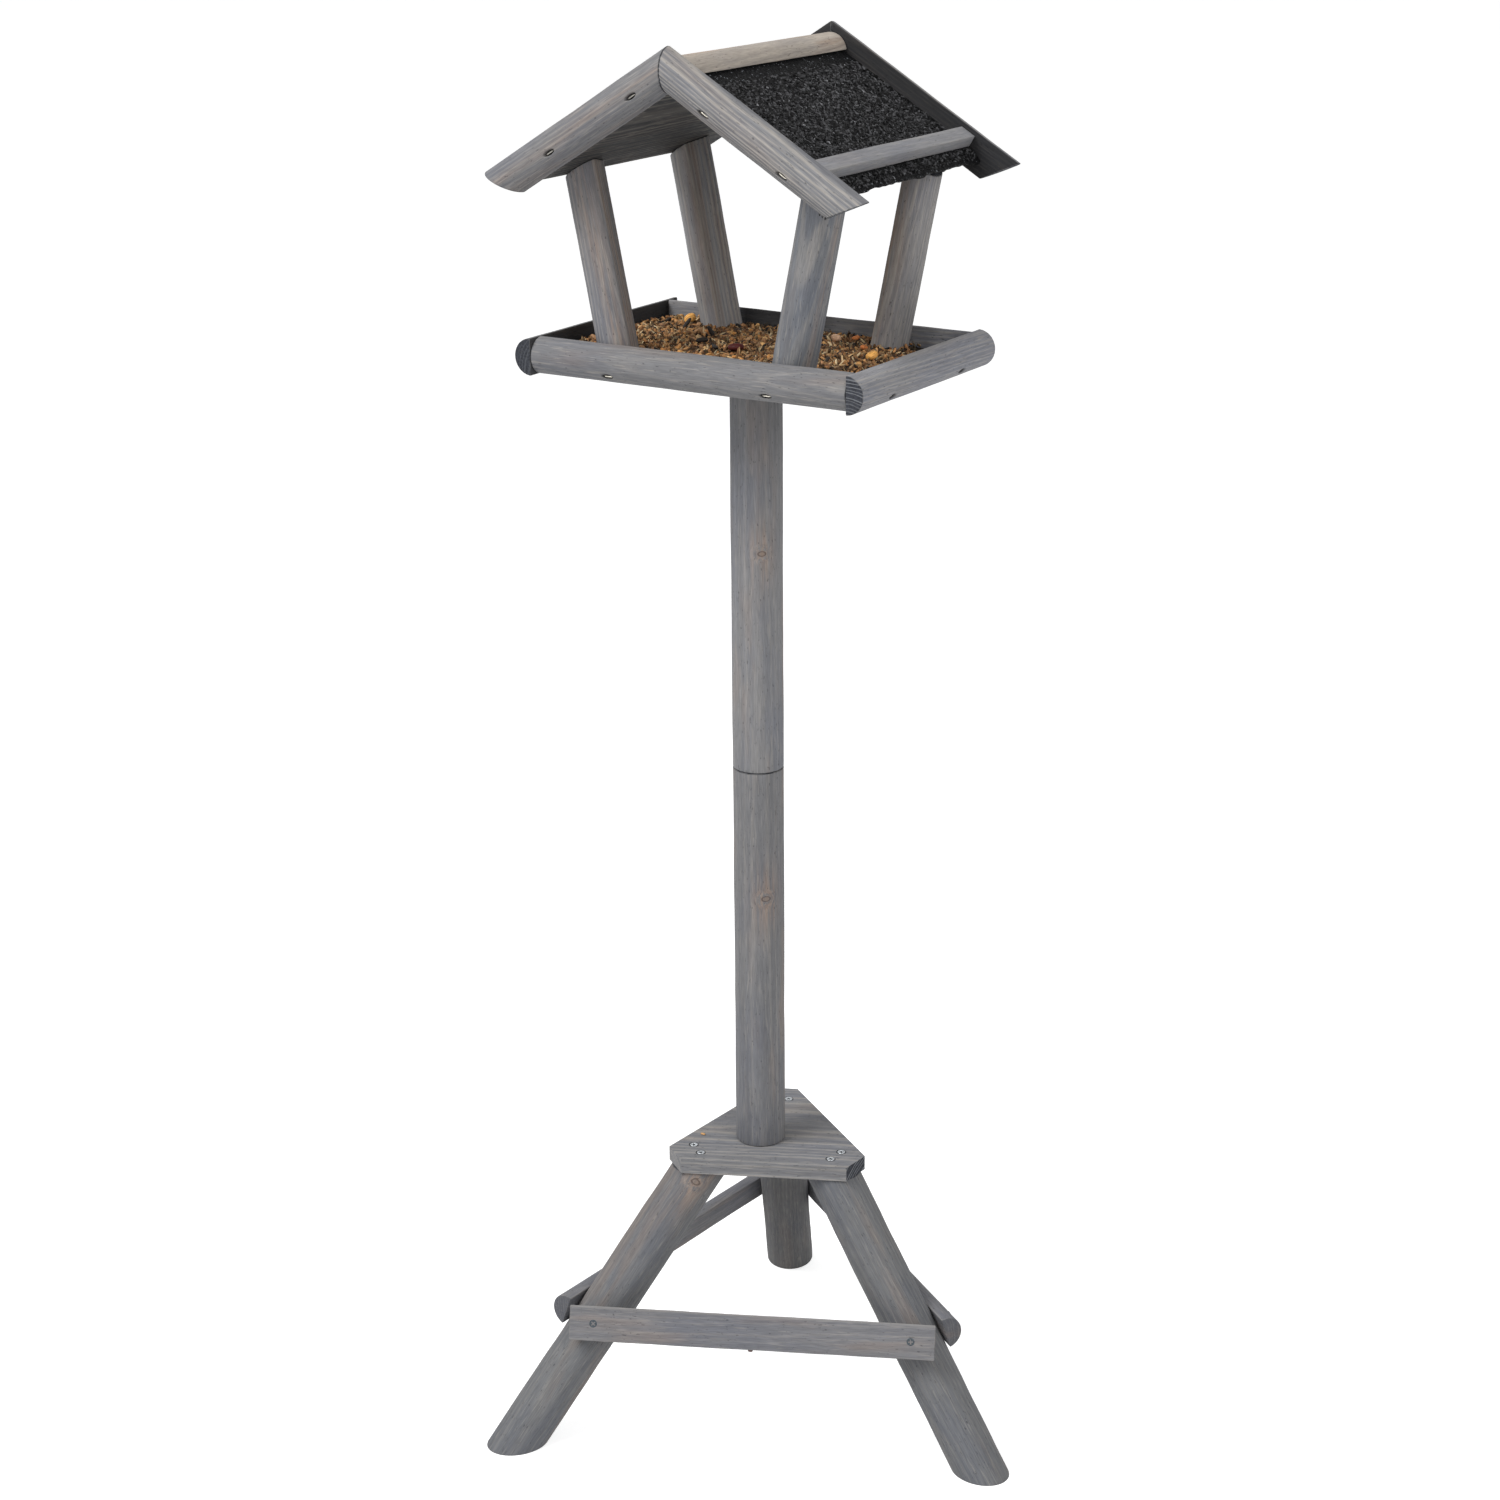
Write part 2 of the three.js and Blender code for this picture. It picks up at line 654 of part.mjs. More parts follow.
// Gable board: cut upright at the ridge and across its lower end, with two staples
function gableBoard(side, end, sideName) {
  const flatY = end * (roofLength / 2 + seatGap);
  const out = blend(Y, end, X, 0);
  const down = downSlope(side);
  const up = offSlope(side);
  const origin = onSlope(side, gableBoardReach / 2, slatWidth / 2, flatY);
  const wood = solidOf(laid(slat(4 * gableBoardReach), up, out, origin));
  const stapleN = gableStapleLift[sideName];
  const drop = roundDrop(slatWidth / 2 - stapleN);
  const crownY = flatY + end * (slatThickness - drop - stapleSink);
  const places = [gableStapleUpper[sideName], gableStapleLower[sideName]];
  const staples = places.map((s) => stapleAt(onSlope(side, s, stapleN, crownY), down, out));
  const kept = wood.intersect(gableBoardRoom(side));
  return { solid: cutAll(kept, staples.map((one) => one.bore)), staples };
}

// Outline that a gable board fills: from the upright cut to the slanted lower end
function gableBoardRoom(side) {
  const inner = seatGap / 2;
  const cutRun = slatWidth / Math.tan(gableEndCut);
  const lowEnd = onSlope(side, gableBoardReach, 0, 0);
  const tip = onSlope(side, gableBoardReach + cutRun, slatWidth, 0);
  const rise = slatWidth / Math.cos(roofPitch);
  const slope = Math.tan(roofPitch);
  const across = (x, lift) => ridgeHeight + lift - Math.abs(x) * slope;
  const beyond = tip.clone().add(tip.clone().sub(lowEnd));
  const below = lowEnd.clone().sub(tip.clone().sub(lowEnd));
  const corners = [
    [side * inner, across(inner, -rise)],
    [below.x, below.z],
    [beyond.x, beyond.z],
    [side * inner, across(inner, 2 * rise)],
  ];
  const ordered = side > 0 ? corners : corners.reverse();
  const outline = new THREE.Shape(ordered.map(([x, z]) => new THREE.Vector2(x, z)));
  return solidOf(laid(bar(outline, 2 * roofLength), X, Z, point(0, 0, 0)));
}

// Roof boards, felt, battens and gable boards
function buildRoof() {
  const roof = new THREE.Group();
  const sides = [['left', -1], ['right', 1]];
  const ends = [['front', -1], ['back', 1]];
  const boardCuts = { left: [], right: [] };
  ends.forEach(([endName, end]) => {
    sides.forEach(([sideName, side]) => {
      const { solid, staples } = gableBoard(side, end, sideName);
      addPiece(roof, `gable_board_${endName}_${sideName}`, solid, woodLook(colourOf.wood));
      staples.forEach((staple, index) => {
        const name = `gable_staple_${endName}_${sideName}_${index + 1}`;
        addPiece(roof, name, staple.solid, steelLook());
        boardCuts[sideName].push(staple.bore);
      });
    });
  });
  sides.forEach(([sideName, side]) => {
    const eave = roofBoardEave;
    const board = stripOnSlope(side, boardStart, eave, 0, roofBoardThickness, roofLength);
    const cut = cutAll(board, boardCuts[sideName]);
    addPiece(roof, `roof_board_${sideName}`, cut, woodLook(colourOf.woodDark));
    const battenFrom = roofBoardEave - eaveBattenWidth;
    const battenFoot = feltUpper + seatGap;
    const battenTop = battenFoot + eaveBattenHeight;
    const long = roofLength - seatGap;
    const batten = stripOnSlope(side, battenFrom, eave, battenFoot, battenTop, long);
    addPiece(roof, `eave_batten_${sideName}`, batten, woodLook(colourOf.wood));
  });
  addPiece(roof, 'roof_felt', feltSheet(), feltLook());
  const ridgeFoot = point(0, 0, cornerHeight + feltThickness + 2 * seatGap);
  const ridge = laid(slat(roofLength - seatGap, ridgeBattenHeight), X, Z, ridgeFoot);
  addPiece(roof, 'ridge_batten', solidOf(ridge), woodLook(colourOf.woodWarm));
  return roof;
}

const table = new THREE.Group();
const { stand, footBore } = buildStand();
const { post, topBore } = buildPost(footBore);
table.add(stand, post, buildTray(topBore), buildPillars(), buildRoof());
addPiece(table, 'seed_heap', buildSeed(), seedLook());

// The origin lies on the ground under the middle of the whole table
const extent = new THREE.Box3().setFromObject(table);
const middle = extent.getCenter(new THREE.Vector3());
table.position.set(-middle.x, -middle.y, -extent.min.z);

export default table;
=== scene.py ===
# %% [markdown]
# # A bird table of grey-stained timber
# This lesson dresses a bird table whose sizes are already settled. The frame holds every piece as a
# plain solid at its real size, and here each one gets the surface that the real piece has: stained
# softwood with grain and worn arrises, granular roofing felt, zinc screws, wire staples and loose seed.
# Lengths are written in millimetres and turned into metres by `mm`.

# %% Load the frame
import bpy
import math
import numpy as np
from mathutils import Matrix, Vector


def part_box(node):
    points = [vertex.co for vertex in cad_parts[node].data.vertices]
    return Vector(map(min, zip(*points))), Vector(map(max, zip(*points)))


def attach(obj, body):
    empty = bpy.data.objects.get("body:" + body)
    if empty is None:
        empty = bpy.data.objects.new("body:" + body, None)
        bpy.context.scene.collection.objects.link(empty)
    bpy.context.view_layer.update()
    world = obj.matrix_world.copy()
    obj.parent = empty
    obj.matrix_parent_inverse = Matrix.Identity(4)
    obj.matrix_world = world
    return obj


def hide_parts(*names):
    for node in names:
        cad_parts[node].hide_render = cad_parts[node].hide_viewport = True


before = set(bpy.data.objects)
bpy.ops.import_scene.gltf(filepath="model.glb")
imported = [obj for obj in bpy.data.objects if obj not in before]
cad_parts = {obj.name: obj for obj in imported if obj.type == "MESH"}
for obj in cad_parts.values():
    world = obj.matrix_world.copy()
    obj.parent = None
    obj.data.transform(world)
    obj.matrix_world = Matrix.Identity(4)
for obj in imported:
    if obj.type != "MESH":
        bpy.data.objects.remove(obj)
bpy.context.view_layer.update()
mm = 0.001
print("nodes in the frame:", len(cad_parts))

# %% [markdown]
# The post's axis is the natural middle of the table, so every piece below is described from it.
# `at` turns a place in millimetres from that axis into the frame's metres.

# %% The post's axis
post_low, post_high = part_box("post_lower")
axis_x = (post_low[0] + post_high[0]) / 2
axis_y = (post_low[1] + post_high[1]) / 2


def at(x, y, z):
    return np.array([axis_x + x * mm, axis_y + y * mm, z * mm])


print("post axis at", round(axis_x, 5), round(axis_y, 5))

# %% [markdown]
# ## The camera
# The table is seen from above and from its right front corner with a short telephoto lens. The camera
# comes first, because everything after it is judged through it. A camera looks along its own -Z, so
# its rotation is built from three directions: right, up and backwards.

# %% Camera


def add_object(name, data):
    """A new object that holds this data, put into the scene."""
    made = bpy.data.objects.new(name, data)
    bpy.context.scene.collection.objects.link(made)
    return made


camera_place = at(1104.1, -1773.0, 1299.8)
camera_yaw = math.radians(-32.09)
camera_dip = math.radians(19.25)
camera_roll = math.radians(-0.43)
focal_pixels = 2823.6
frame_pixels = 1500
sensor_width = 36.0

forward = Vector((math.sin(camera_yaw) * math.cos(camera_dip),
                  math.cos(camera_yaw) * math.cos(camera_dip), -math.sin(camera_dip)))
level_right = Vector((math.cos(camera_yaw), -math.sin(camera_yaw), 0))
level_up = level_right.cross(forward)
right = level_right * math.cos(camera_roll) + level_up * math.sin(camera_roll)
up = level_up * math.cos(camera_roll) - level_right * math.sin(camera_roll)
turn = Matrix((right, up, -forward)).transposed()

camera_data = bpy.data.cameras.new("camera")
camera_data.sensor_fit = "HORIZONTAL"
camera_data.sensor_width = sensor_width
camera_data.lens = focal_pixels / frame_pixels * sensor_width
camera_data.clip_end = 300
camera = add_object("camera", camera_data)
camera.matrix_world = Matrix.Translation(Vector(camera_place)) @ turn.to_4x4()
bpy.context.scene.camera = camera
print("lens", round(camera_data.lens, 2), "mm")

# %% [markdown]
# ## Sizes of the pieces
# These are the sizes that the solids were made with. A finished surface has to lie where its solid
# lies, so the same numbers are used again.

# %% Sizes, in millimetres
seat_gap = 0.3
slat_width, slat_thickness = 28, 14
leg_diameter, leg_height, leg_top_spread, leg_foot_spread = 41, 222, 60, 219
stand_turn = math.radians(25)
plate_thickness = 12
plate_middle = np.array([5.0, 8.0, 0.0])
plate_screw_spread, plate_screw_pitch = 65.5, 15
brace_overhang, brace_height = 19.5, 99
post_diameter, lower_post, upper_post = 40, 323, 313
floor_width, floor_depth, floor_thickness = 270, 171, 12
pillar_diameter, pillar_depth, pillar_foot_spread = 32, 27, 73
pillar_lean, pillar_turn = math.radians(11.6), math.radians(18)
roof_pitch = math.radians(31)
roof_overhang, ridge_rise, ridge_opening = 10.2, 202, 6
roof_board_thickness, roof_board_eave = 13, 129.5
felt_thickness, felt_overhang = 2, 14
eave_batten_width, eave_batten_height, ridge_batten_height = 13, 9, 12.5
gable_board_reach, gable_end_cut = 149, math.radians(53)
table_sides = (("left", -1), ("right", 1))
table_ends = (("front", -1), ("back", 1))
table_corners = [(*end, *side) for end in table_ends for side in table_sides]

plate_top = leg_height + plate_thickness
post_foot = plate_top + seat_gap
post_joint = post_foot + lower_post
upper_foot = post_joint + seat_gap
floor_under = upper_foot + upper_post + seat_gap
floor_top = floor_under + floor_thickness
ridge = floor_top + ridge_rise
tray_depth = floor_depth + 2 * (slat_thickness + seat_gap)
roof_length = tray_depth + 2 * roof_overhang
pillar_foot_y = floor_depth / 2 - seat_gap - pillar_diameter / 2
print("ridge at", ridge, "mm, roof length", roof_length, "mm")

# %% [markdown]
# ## Numbers that look like chance
# Real timber is never quite straight or round. Every piece draws its small faults from a generator
# with a seed of its own, so the script makes the same table each time.

# %% Seeded waviness


def waviness(seed, count=5, longest=300.0):
    """A smooth wandering line: the sum of a few sine waves of falling length and height."""
    chance = np.random.default_rng(seed)
    lengths = longest / (1 + np.arange(count)) ** 1.1
    phases = chance.uniform(0, 2 * np.pi, count)
    heights = chance.uniform(0.4, 1.0, count) / (1 + np.arange(count))

    def line(s):
        waves = np.sin(2 * np.pi * np.asarray(s)[..., None] / lengths + phases)
        return (waves * heights).sum(-1) / heights.sum()

    return line


# %% [markdown]
# ## From arrays to meshes
# Every shape below is worked out as whole arrays of points. Most are rings of points, one after
# another, closed at each end by one more point. Sheets are two grids of points, one above the other.
# The same few functions join such points with faces and keep what each point remembers.

# %% Points, faces and what they remember


def to_frame(points):
    """Rows of places in millimetres from the post's axis, as places in the frame."""
    return at(0, 0, 0) + points * mm


def unit_length(vector):
    """The vector divided by its own length."""
    return vector / np.linalg.norm(vector)


def tube_faces(rows, columns):
    """Faces over rings of points, and a fan to one more point at each end.

    Point p of ring r has the number r * columns + p, and the two end points come last. The faces
    look outward where the rings run anticlockwise, seen against their direction of travel.
    """
    ring = np.arange(rows * columns).reshape(rows, columns)
    beside = np.roll(ring, -1, 1)
    quads = np.stack([ring[:-1], beside[:-1], beside[1:], ring[1:]], -1).reshape(-1, 4)
    first, last = (np.full(columns, rows * columns + pole) for pole in (0, 1))
    fans = [np.stack([first, beside[0], ring[0]], -1), np.stack([last, ring[-1], beside[-1]], -1)]
    return quads, np.vstack(fans)


def slab_faces(rows, columns):
    """Faces of a slab: a grid of points looking up, the same grid below it, and a wall between them."""
    top = np.arange(rows * columns).reshape(rows, columns)
    upper = np.stack([top[:-1, :-1], top[:-1, 1:], top[1:, 1:], top[1:, :-1]], -1).reshape(-1, 4)
    rim = np.concatenate([top[0, :-1], top[:-1, -1], top[-1, :0:-1], top[:0:-1, 0]])
    after = np.roll(rim, -1)
    under = rows * columns
    wall = np.stack([rim, rim + under, after + under, after], -1)
    return upper, upper[:, ::-1] + under, wall


def store(mesh, key, values, domain="POINT"):
    """Keeps a number, a vector or a colour for each point or face of a mesh, under a name."""
    values = np.ascontiguousarray(values, np.float32)
    width = values.shape[1] if values.ndim > 1 else 1
    kind, field = {1: ("FLOAT", "value"), 3: ("FLOAT_VECTOR", "vector"), 4: ("FLOAT_COLOR", "color")}[width]
    mesh.attributes.new(key, kind, domain).data.foreach_set(field, values.ravel())


def read_rows(items, field):
    """A field of three numbers, read from all points or faces at once."""
    values = np.empty(len(items) * 3, np.float32)
    items.foreach_get(field, values)
    return values.reshape(-1, 3)


def make_mesh(name, vertices, face_groups, attributes, smooth=True):
    """Arrays of vertices and faces into a Blender object, with its point attributes."""
    loops = np.concatenate([f.ravel() for f in face_groups]).astype(np.int32)
    sizes = np.concatenate([np.full(len(f), f.shape[1]) for f in face_groups])
    starts = np.concatenate([[0], np.cumsum(sizes)[:-1]]).astype(np.int32)
    mesh = bpy.data.meshes.new(name)
    mesh.vertices.add(len(vertices))
    mesh.vertices.foreach_set("co", np.ascontiguousarray(vertices, np.float32).ravel())
    mesh.loops.add(len(loops))
    mesh.loops.foreach_set("vertex_index", loops)
    mesh.polygons.add(len(starts))
    mesh.polygons.foreach_set("loop_start", starts)
    mesh.polygons.foreach_set("use_smooth", np.full(len(starts), smooth))
    for key, values in attributes.items():
        store(mesh, key, values)
    mesh.update(calc_edges=True)
    mesh.validate()
    return add_object(name, mesh)


print("faces of a tube of 3 rings of 4 points:", sum(len(group) for group in tube_faces(3, 4)))

# %% Finished pieces
dressed = []


def finish_piece(piece, material, slot, *nodes):
    """Gives a piece its material and says which solids it stands for."""
    piece.data.materials.append(material)
    dressed.append((piece, nodes))
    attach(piece, "root")
    if nodes:
        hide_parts(*nodes)
    return piece


# %% [markdown]
# ## Timber as one kind of surface
# Every wooden piece here is a bar: a closed outline carried along a straight line and sawn off by a
# plane at each end. That holds for poles, half round slats and boards alike. The outline runs round
# the piece once, its corners eased as sandpaper eases them. The two ends are closed by rings that
# shrink to a point, and the rings next to the body round the rim over.
#
# The surface also remembers where it lay in the tree. Each point stores its place in the log, as
# `log`, from which the material later works out growth rings and fibres. It stores `cap`, which is 1
# on sawn ends, and `arris`, which is 1 on corners and rims, where stain is rubbed thin.

# %% Outlines


def eased_corner(start, corner, end, arc=4):
    """A curve of the second degree from start to end, which bulges towards the corner."""
    t = np.linspace(0, 1, arc + 1)[:, None]
    return (1 - t) ** 2 * start + 2 * t * (1 - t) * corner + t ** 2 * end


def eased(corners, ease, step=2.5):
    """Polygon corners joined by straight runs, each corner replaced by a short curve.

    The curve leaves both sides at the same distance from the corner.
    """
    corners = np.asarray(corners, float)
    before = np.roll(corners, 1, 0) - corners
    after = np.roll(corners, -1, 0) - corners
    starts = corners + before / np.linalg.norm(before, axis=1)[:, None] * ease
    ends = corners + after / np.linalg.norm(after, axis=1)[:, None] * ease
    rows, worn = [], []
    for start, corner, end, following in zip(starts, corners, ends, np.roll(starts, -1, 0)):
        rows.append(eased_corner(start, corner, end))
        worn.append(np.ones(len(rows[-1])))
        count = max(int(np.linalg.norm(following - end) / step), 1)
        rows.append(end + (following - end) * np.linspace(0, 1, count + 1)[1:-1, None])
        worn.append(np.zeros(len(rows[-1])))
    return np.vstack(rows), np.concatenate(worn)


def circle(diameter, count=96):
    """A circle about the middle, which runs anticlockwise and has no corners."""
    angle = np.linspace(0, 2 * np.pi, count, endpoint=False)
    points = diameter / 2 * np.stack([np.cos(angle), np.sin(angle)], 1)
    return points, np.zeros(count)


def flattened(diameter, depth, count=64, flat_step=1.5, ease=0.8):
    """A circle cut off by a flat at y = 0, which rises to y = depth, with its two corners eased."""
    radius = diameter / 2
    middle = depth - radius
    half = math.sqrt(radius ** 2 - middle ** 2)
    first = math.atan2(-middle, half)
    trim = ease / radius
    angle = np.linspace(first + trim, math.pi - first - trim, count)
    arc = np.stack([radius * np.cos(angle), middle + radius * np.sin(angle)], 1)
    left_corner, right_corner = np.array([-half, 0.0]), np.array([half, 0.0])
    left_in, right_in = left_corner + [ease, 0], right_corner - [ease, 0]
    left_arc = eased_corner(arc[-1], left_corner, left_in)
    right_arc = eased_corner(right_in, right_corner, arc[0])
    steps = np.linspace(0, 1, int(2 * half / flat_step))[1:-1, None]
    flat = left_in + (right_in - left_in) * steps
    points = np.vstack([arc[1:-1], left_arc, flat, right_arc])
    worn = np.concatenate([np.zeros(count - 2), np.ones(len(left_arc)), np.zeros(len(flat)),
                           np.ones(len(right_arc))])
    return points, worn


def half_round(width=slat_width, height=slat_thickness, **more):
    """The half round slat: a circle through both lower corners and the crown."""
    diameter = (width ** 2 / 4 + height ** 2) / height
    return flattened(diameter, height, **more)


print("points round a pole:", len(circle(40)[0]), "round a slat:", len(half_round()[0]))

# %% Bars, sawn off at both ends
row_step, rim = 3.0, 0.8
slit_depth, slit_half_length, slit_half_width = 2.6, 5.6, 2.0
end_closing = np.array([0.2, 0.42, 0.65, 0.85, 0.97])


def along_steps(length, fine_at, reach=8.0, fine=0.5):
    """Distances along a bar: an even step, and a fine one near each place that needs it."""
    places = [np.linspace(0, length, max(int(length / row_step), 2) + 1)]
    for middle in fine_at:
        places.append(np.arange(middle - reach, middle + reach, fine))
    steps = np.unique(np.clip(np.concatenate(places), 0, length).round(4))
    keep = np.concatenate([[True], np.diff(steps) > 0.2])
    return steps[keep]


def staple_press(uv, s, places, height):
    """How far in each point is pressed, 0 to 1: an eye-shaped dent round every staple.

    The distance is measured in an ellipse's own units, so it is 1 on the rim of the eye, and the press
    grows from 0 there to 1 over the outer third.
    """
    press = np.zeros(s.shape)
    for middle in places:
        reach = np.hypot((s - middle) / slit_half_length, (uv[..., 0] - height) / slit_half_width)
        press = np.maximum(press, np.clip((1 - reach) / 0.33, 0, 1) * (uv[..., 1] > 2))
    return press


def square_cuts(middle, lengthways, half):
    """The two planes that saw a bar off square, half its length either way from its middle."""
    return (middle - lengthways * half, lengthways), (middle + lengthways * half, lengthways)


def bar(name, outline, origin, across, out, low_cut, high_cut, seed, pith, tilt, bow=0.25,
        slits=((), 0.0), knots=(), shaded_flat=((0, 0),), sawn=1.0, warm=()):
    """An outline carried along a straight line between two sawn ends.

    Each outline point (u, v) goes to origin + u * across + v * out + s * along, and along is
    across x out. A cut is a plane (point, normal), and s at an end is where that line meets it.
    Rows near an end shrink the outline by a quarter circle, which rounds the rim, and then shrink
    it to nothing, which closes the end. Slits are pressed straight in, against out. The shaded flat
    lists (s, share) pairs: how much painted shade darkens the flat side along its length. Sawn says
    how dark the ends have drunk. Each warm band (foot place, head place, width, share) runs from one
    place in the outline to another, and fades as exp(-(distance / width)^2).
    """
    points, worn = outline
    origin, across, out = (np.asarray(a, float) for a in (origin, across, out))
    along = np.cross(across, out)
    middle = points.mean(0)
    size = np.abs(points - middle).max()
    axes = np.array([across, out, along])
    knots = [(axes @ (np.array(place) - origin), wide) for place, wide in knots]

    def end_of(cut, uv):
        plane_point, normal = (np.asarray(a, float) for a in cut)
        base = origin + uv[..., :1] * across + uv[..., 1:] * out
        return ((plane_point - base) @ normal) / (along @ normal)

    # Rows: a closed end, the body, and the other closed end
    start = float(end_of(low_cut, middle))
    length = float(end_of(high_cut, middle)) - start
    fine_at = list(slits[0]) + [place[2] for place, wide in knots]
    steps = along_steps(length - 2 * rim, [place - start - rim for place in fine_at])
    share = steps / (length - 2 * rim)
    quarter = np.linspace(np.pi / 2, 0, 4)[:-1]
    low = np.concatenate([end_closing * (1 - rim / size), 1 - rim * (1 - np.cos(quarter)) / size])
    inset = np.concatenate([np.zeros(len(end_closing)), rim * (1 - np.sin(quarter))])
    ones, zeros = np.ones(len(share)), np.zeros(len(low))
    shrink = np.concatenate([low, ones, low[::-1]])
    body = np.concatenate([zeros, ones, zeros])
    t = np.concatenate([zeros, share, zeros + 1])
    from_low = np.concatenate([inset, 0 * ones, zeros])

    uv = middle + shrink[:, None, None] * (points - middle)[None]
    s_low, s_high = end_of(low_cut, uv), end_of(high_cut, uv)
    inner = s_low + rim + t[:, None] * (s_high - s_low - 2 * rim)
    ends = np.where(t[:, None] == 0, s_low + from_low[:, None], s_high - from_low[::-1, None])
    s = np.where(body[:, None] == 1, inner, ends)

    # The faults of real timber: a little bow and an uneven girth, none of it near the ends
    wander_u, wander_v = waviness(seed), waviness(seed + 1)
    girth = waviness(seed + 2, longest=170.0)
    calm = np.clip(np.minimum(s - s_low, s_high - s) / 25, 0, 1)
    shown = middle + (uv - middle) * (1 + calm * girth(s) * bow / size * 0.6)[..., None]
    shown = shown + (calm * bow)[..., None] * np.stack([wander_u(s), wander_v(s)], -1) * 0.5
    pressed = staple_press(uv, s, *slits) * body[:, None]
    shown[..., 1] -= pressed * slit_depth
    place = origin + shown[..., :1] * across + shown[..., 1:] * out + s[..., None] * along

    # Where each point lay in the tree, with the fibres swelling round every knot
    log = np.concatenate([uv + np.asarray(pith) + s[..., None] * np.asarray(tilt), s[..., None]], -1)
    knot, blush = np.zeros(s.shape), np.zeros(s.shape)
    for (k_u, k_v, k_s), wide in knots:
        toward = np.array([k_u, k_v]) / np.hypot(k_u, k_v)
        beside = uv @ np.array([-toward[1], toward[0]])
        facing = (uv @ toward) > 0
        far = np.hypot(beside, (s - k_s) * 1.6)
        swell = np.exp(-(far / (2.2 * wide)) ** 2) * facing
        log[..., :2] += (swell * 1.2 * wide)[..., None] * toward
        knot = np.maximum(knot, np.exp(-(far / wide) ** 4) * facing)
        fade = np.exp(-(beside / (2.6 * wide)) ** 2 - ((s - k_s) / (7 * wide)) ** 2)
        blush = np.maximum(blush, fade * facing)
    for foot_uv, head_uv, wide, strength in warm:
        centre = np.asarray(foot_uv) + (np.asarray(head_uv) - foot_uv) * ((s - start) / length)[..., None]
        fade = np.exp(-(np.linalg.norm(uv - centre, axis=-1) / wide) ** 2)
        blush = np.maximum(blush, strength * fade)
    log[..., 2] += np.random.default_rng(seed + 3).uniform(2000, 9000)

    cap = np.repeat((1 - body)[:, None], s.shape[1], 1)
    rim_worn = np.exp(-((shrink - 0.985) / 0.02) ** 2) * (1 - body)
    edge = np.clip(worn[None] * body[:, None] + rim_worn[:, None], 0, 1)
    # Painted shade on the flat side, where it looks into the tray or lies under the roof
    flat_shade = np.interp(s, *np.array(shaded_flat, float).T) * (uv[..., 1] < 0.3) * body[:, None]
    poles = [origin + middle[0] * across + middle[1] * out + float(end_of(cut, middle)) * along
             for cut in (low_cut, high_cut)]
    attributes = {"log": np.vstack([log.reshape(-1, 3), log[0].mean(0), log[-1].mean(0)]) * mm,
                  "cap": np.append(cap.ravel(), [1, 1]) * sawn}
    # The material paints shade from two of these: inner darkens the flat side, and hollow darkens the
    # staples' slits
    for key, values in (("arris", edge), ("knot", knot), ("hollow", pressed), ("blush", blush),
                        ("inner", flat_shade)):
        attributes[key] = np.append(values.ravel(), [0, 0])
    return make_mesh(name, to_frame(np.vstack([place.reshape(-1, 3), poles])), tube_faces(*s.shape),
                     attributes)


print("rows along a metre:", len(along_steps(1000, [])))

# %% [markdown]
# ## Building materials from nodes
# A material is a small network. `add` places one node, sets its plain values and links its inputs, so
# that a network reads as a list of steps.

# %% A helper for nodes


def add(tree, kind, *inputs, **settings):
    """Places a node. Each input is None to skip it, a value to set, or a socket to link."""
    made = tree.nodes.new(kind)
    for key, value in settings.items():
        setattr(made, key, value)
    for slot, value in zip(made.inputs, inputs):
        if isinstance(value, bpy.types.NodeSocket):
            tree.links.new(value, slot)
        elif value is not None:
            slot.default_value = value
    return made


def maths(tree, operation, *inputs, clamp=False):
    """One sum of numbers."""
    return add(tree, "ShaderNodeMath", *inputs, operation=operation, use_clamp=clamp).outputs[0]


def vector_maths(tree, operation, *inputs):
    """One sum of vectors, whose result is a vector or a number."""
    made = add(tree, "ShaderNodeVectorMath", *inputs, operation=operation)
    return made.outputs["Value" if operation in ("LENGTH", "DOT_PRODUCT") else "Vector"]


def remap(tree, value, low, high, to_low=0.0, to_high=1.0):
    """A soft step: the range from low to high becomes the range from to_low to to_high."""
    made = add(tree, "ShaderNodeMapRange", value, low, high, to_low, to_high,
               interpolation_type="SMOOTHSTEP")
    return made.outputs[0]


def blend(tree, factor, first, second, mode="MIX"):
    """Two colours laid over each other, the second as strongly as the factor says."""
    made = add(tree, "ShaderNodeMix", data_type="RGBA", blend_type=mode)
    for slot, value in (("Factor", factor), ("A", first), ("B", second)):
        socket = [i for i in made.inputs if i.name == slot and i.enabled][0]
        if isinstance(value, bpy.types.NodeSocket):
            tree.links.new(value, socket)
        else:
            socket.default_value = value
    return [o for o in made.outputs if o.enabled][0]


def noise(tree, place, stretch, detail=2.0, rough=0.5):
    """Noise in a space that is stretched differently along each axis of the log."""
    scaled = vector_maths(tree, "MULTIPLY", place, stretch)
    made = add(tree, "ShaderNodeTexNoise", scaled, None, 1.0, detail, rough)
    return made.outputs["Fac"]


def paint(red, green, blue):
    """A colour as it is seen, 0 to 255, turned into the linear light that shaders use."""
    seen = np.array([red, green, blue]) / 255
    linear = np.where(seen <= 0.04045, seen / 12.92, ((seen + 0.055) / 1.055) ** 2.4)
    return (*linear.tolist(), 1.0)


def new_group(name, inputs, outputs):
    """An empty node group with named sockets, and what it is given and puts out."""
    group = bpy.data.node_groups.new(name, "ShaderNodeTree")
    for label, kind, default in inputs:
        socket = group.interface.new_socket(label, in_out="INPUT", socket_type=kind)
        if default is not None:
            socket.default_value = default
    for label, kind in outputs:
        group.interface.new_socket(label, in_out="OUTPUT", socket_type=kind)
    source = group.nodes.new("NodeGroupInput")
    sink = group.nodes.new("NodeGroupOutput")
    return group, source.outputs, sink.inputs


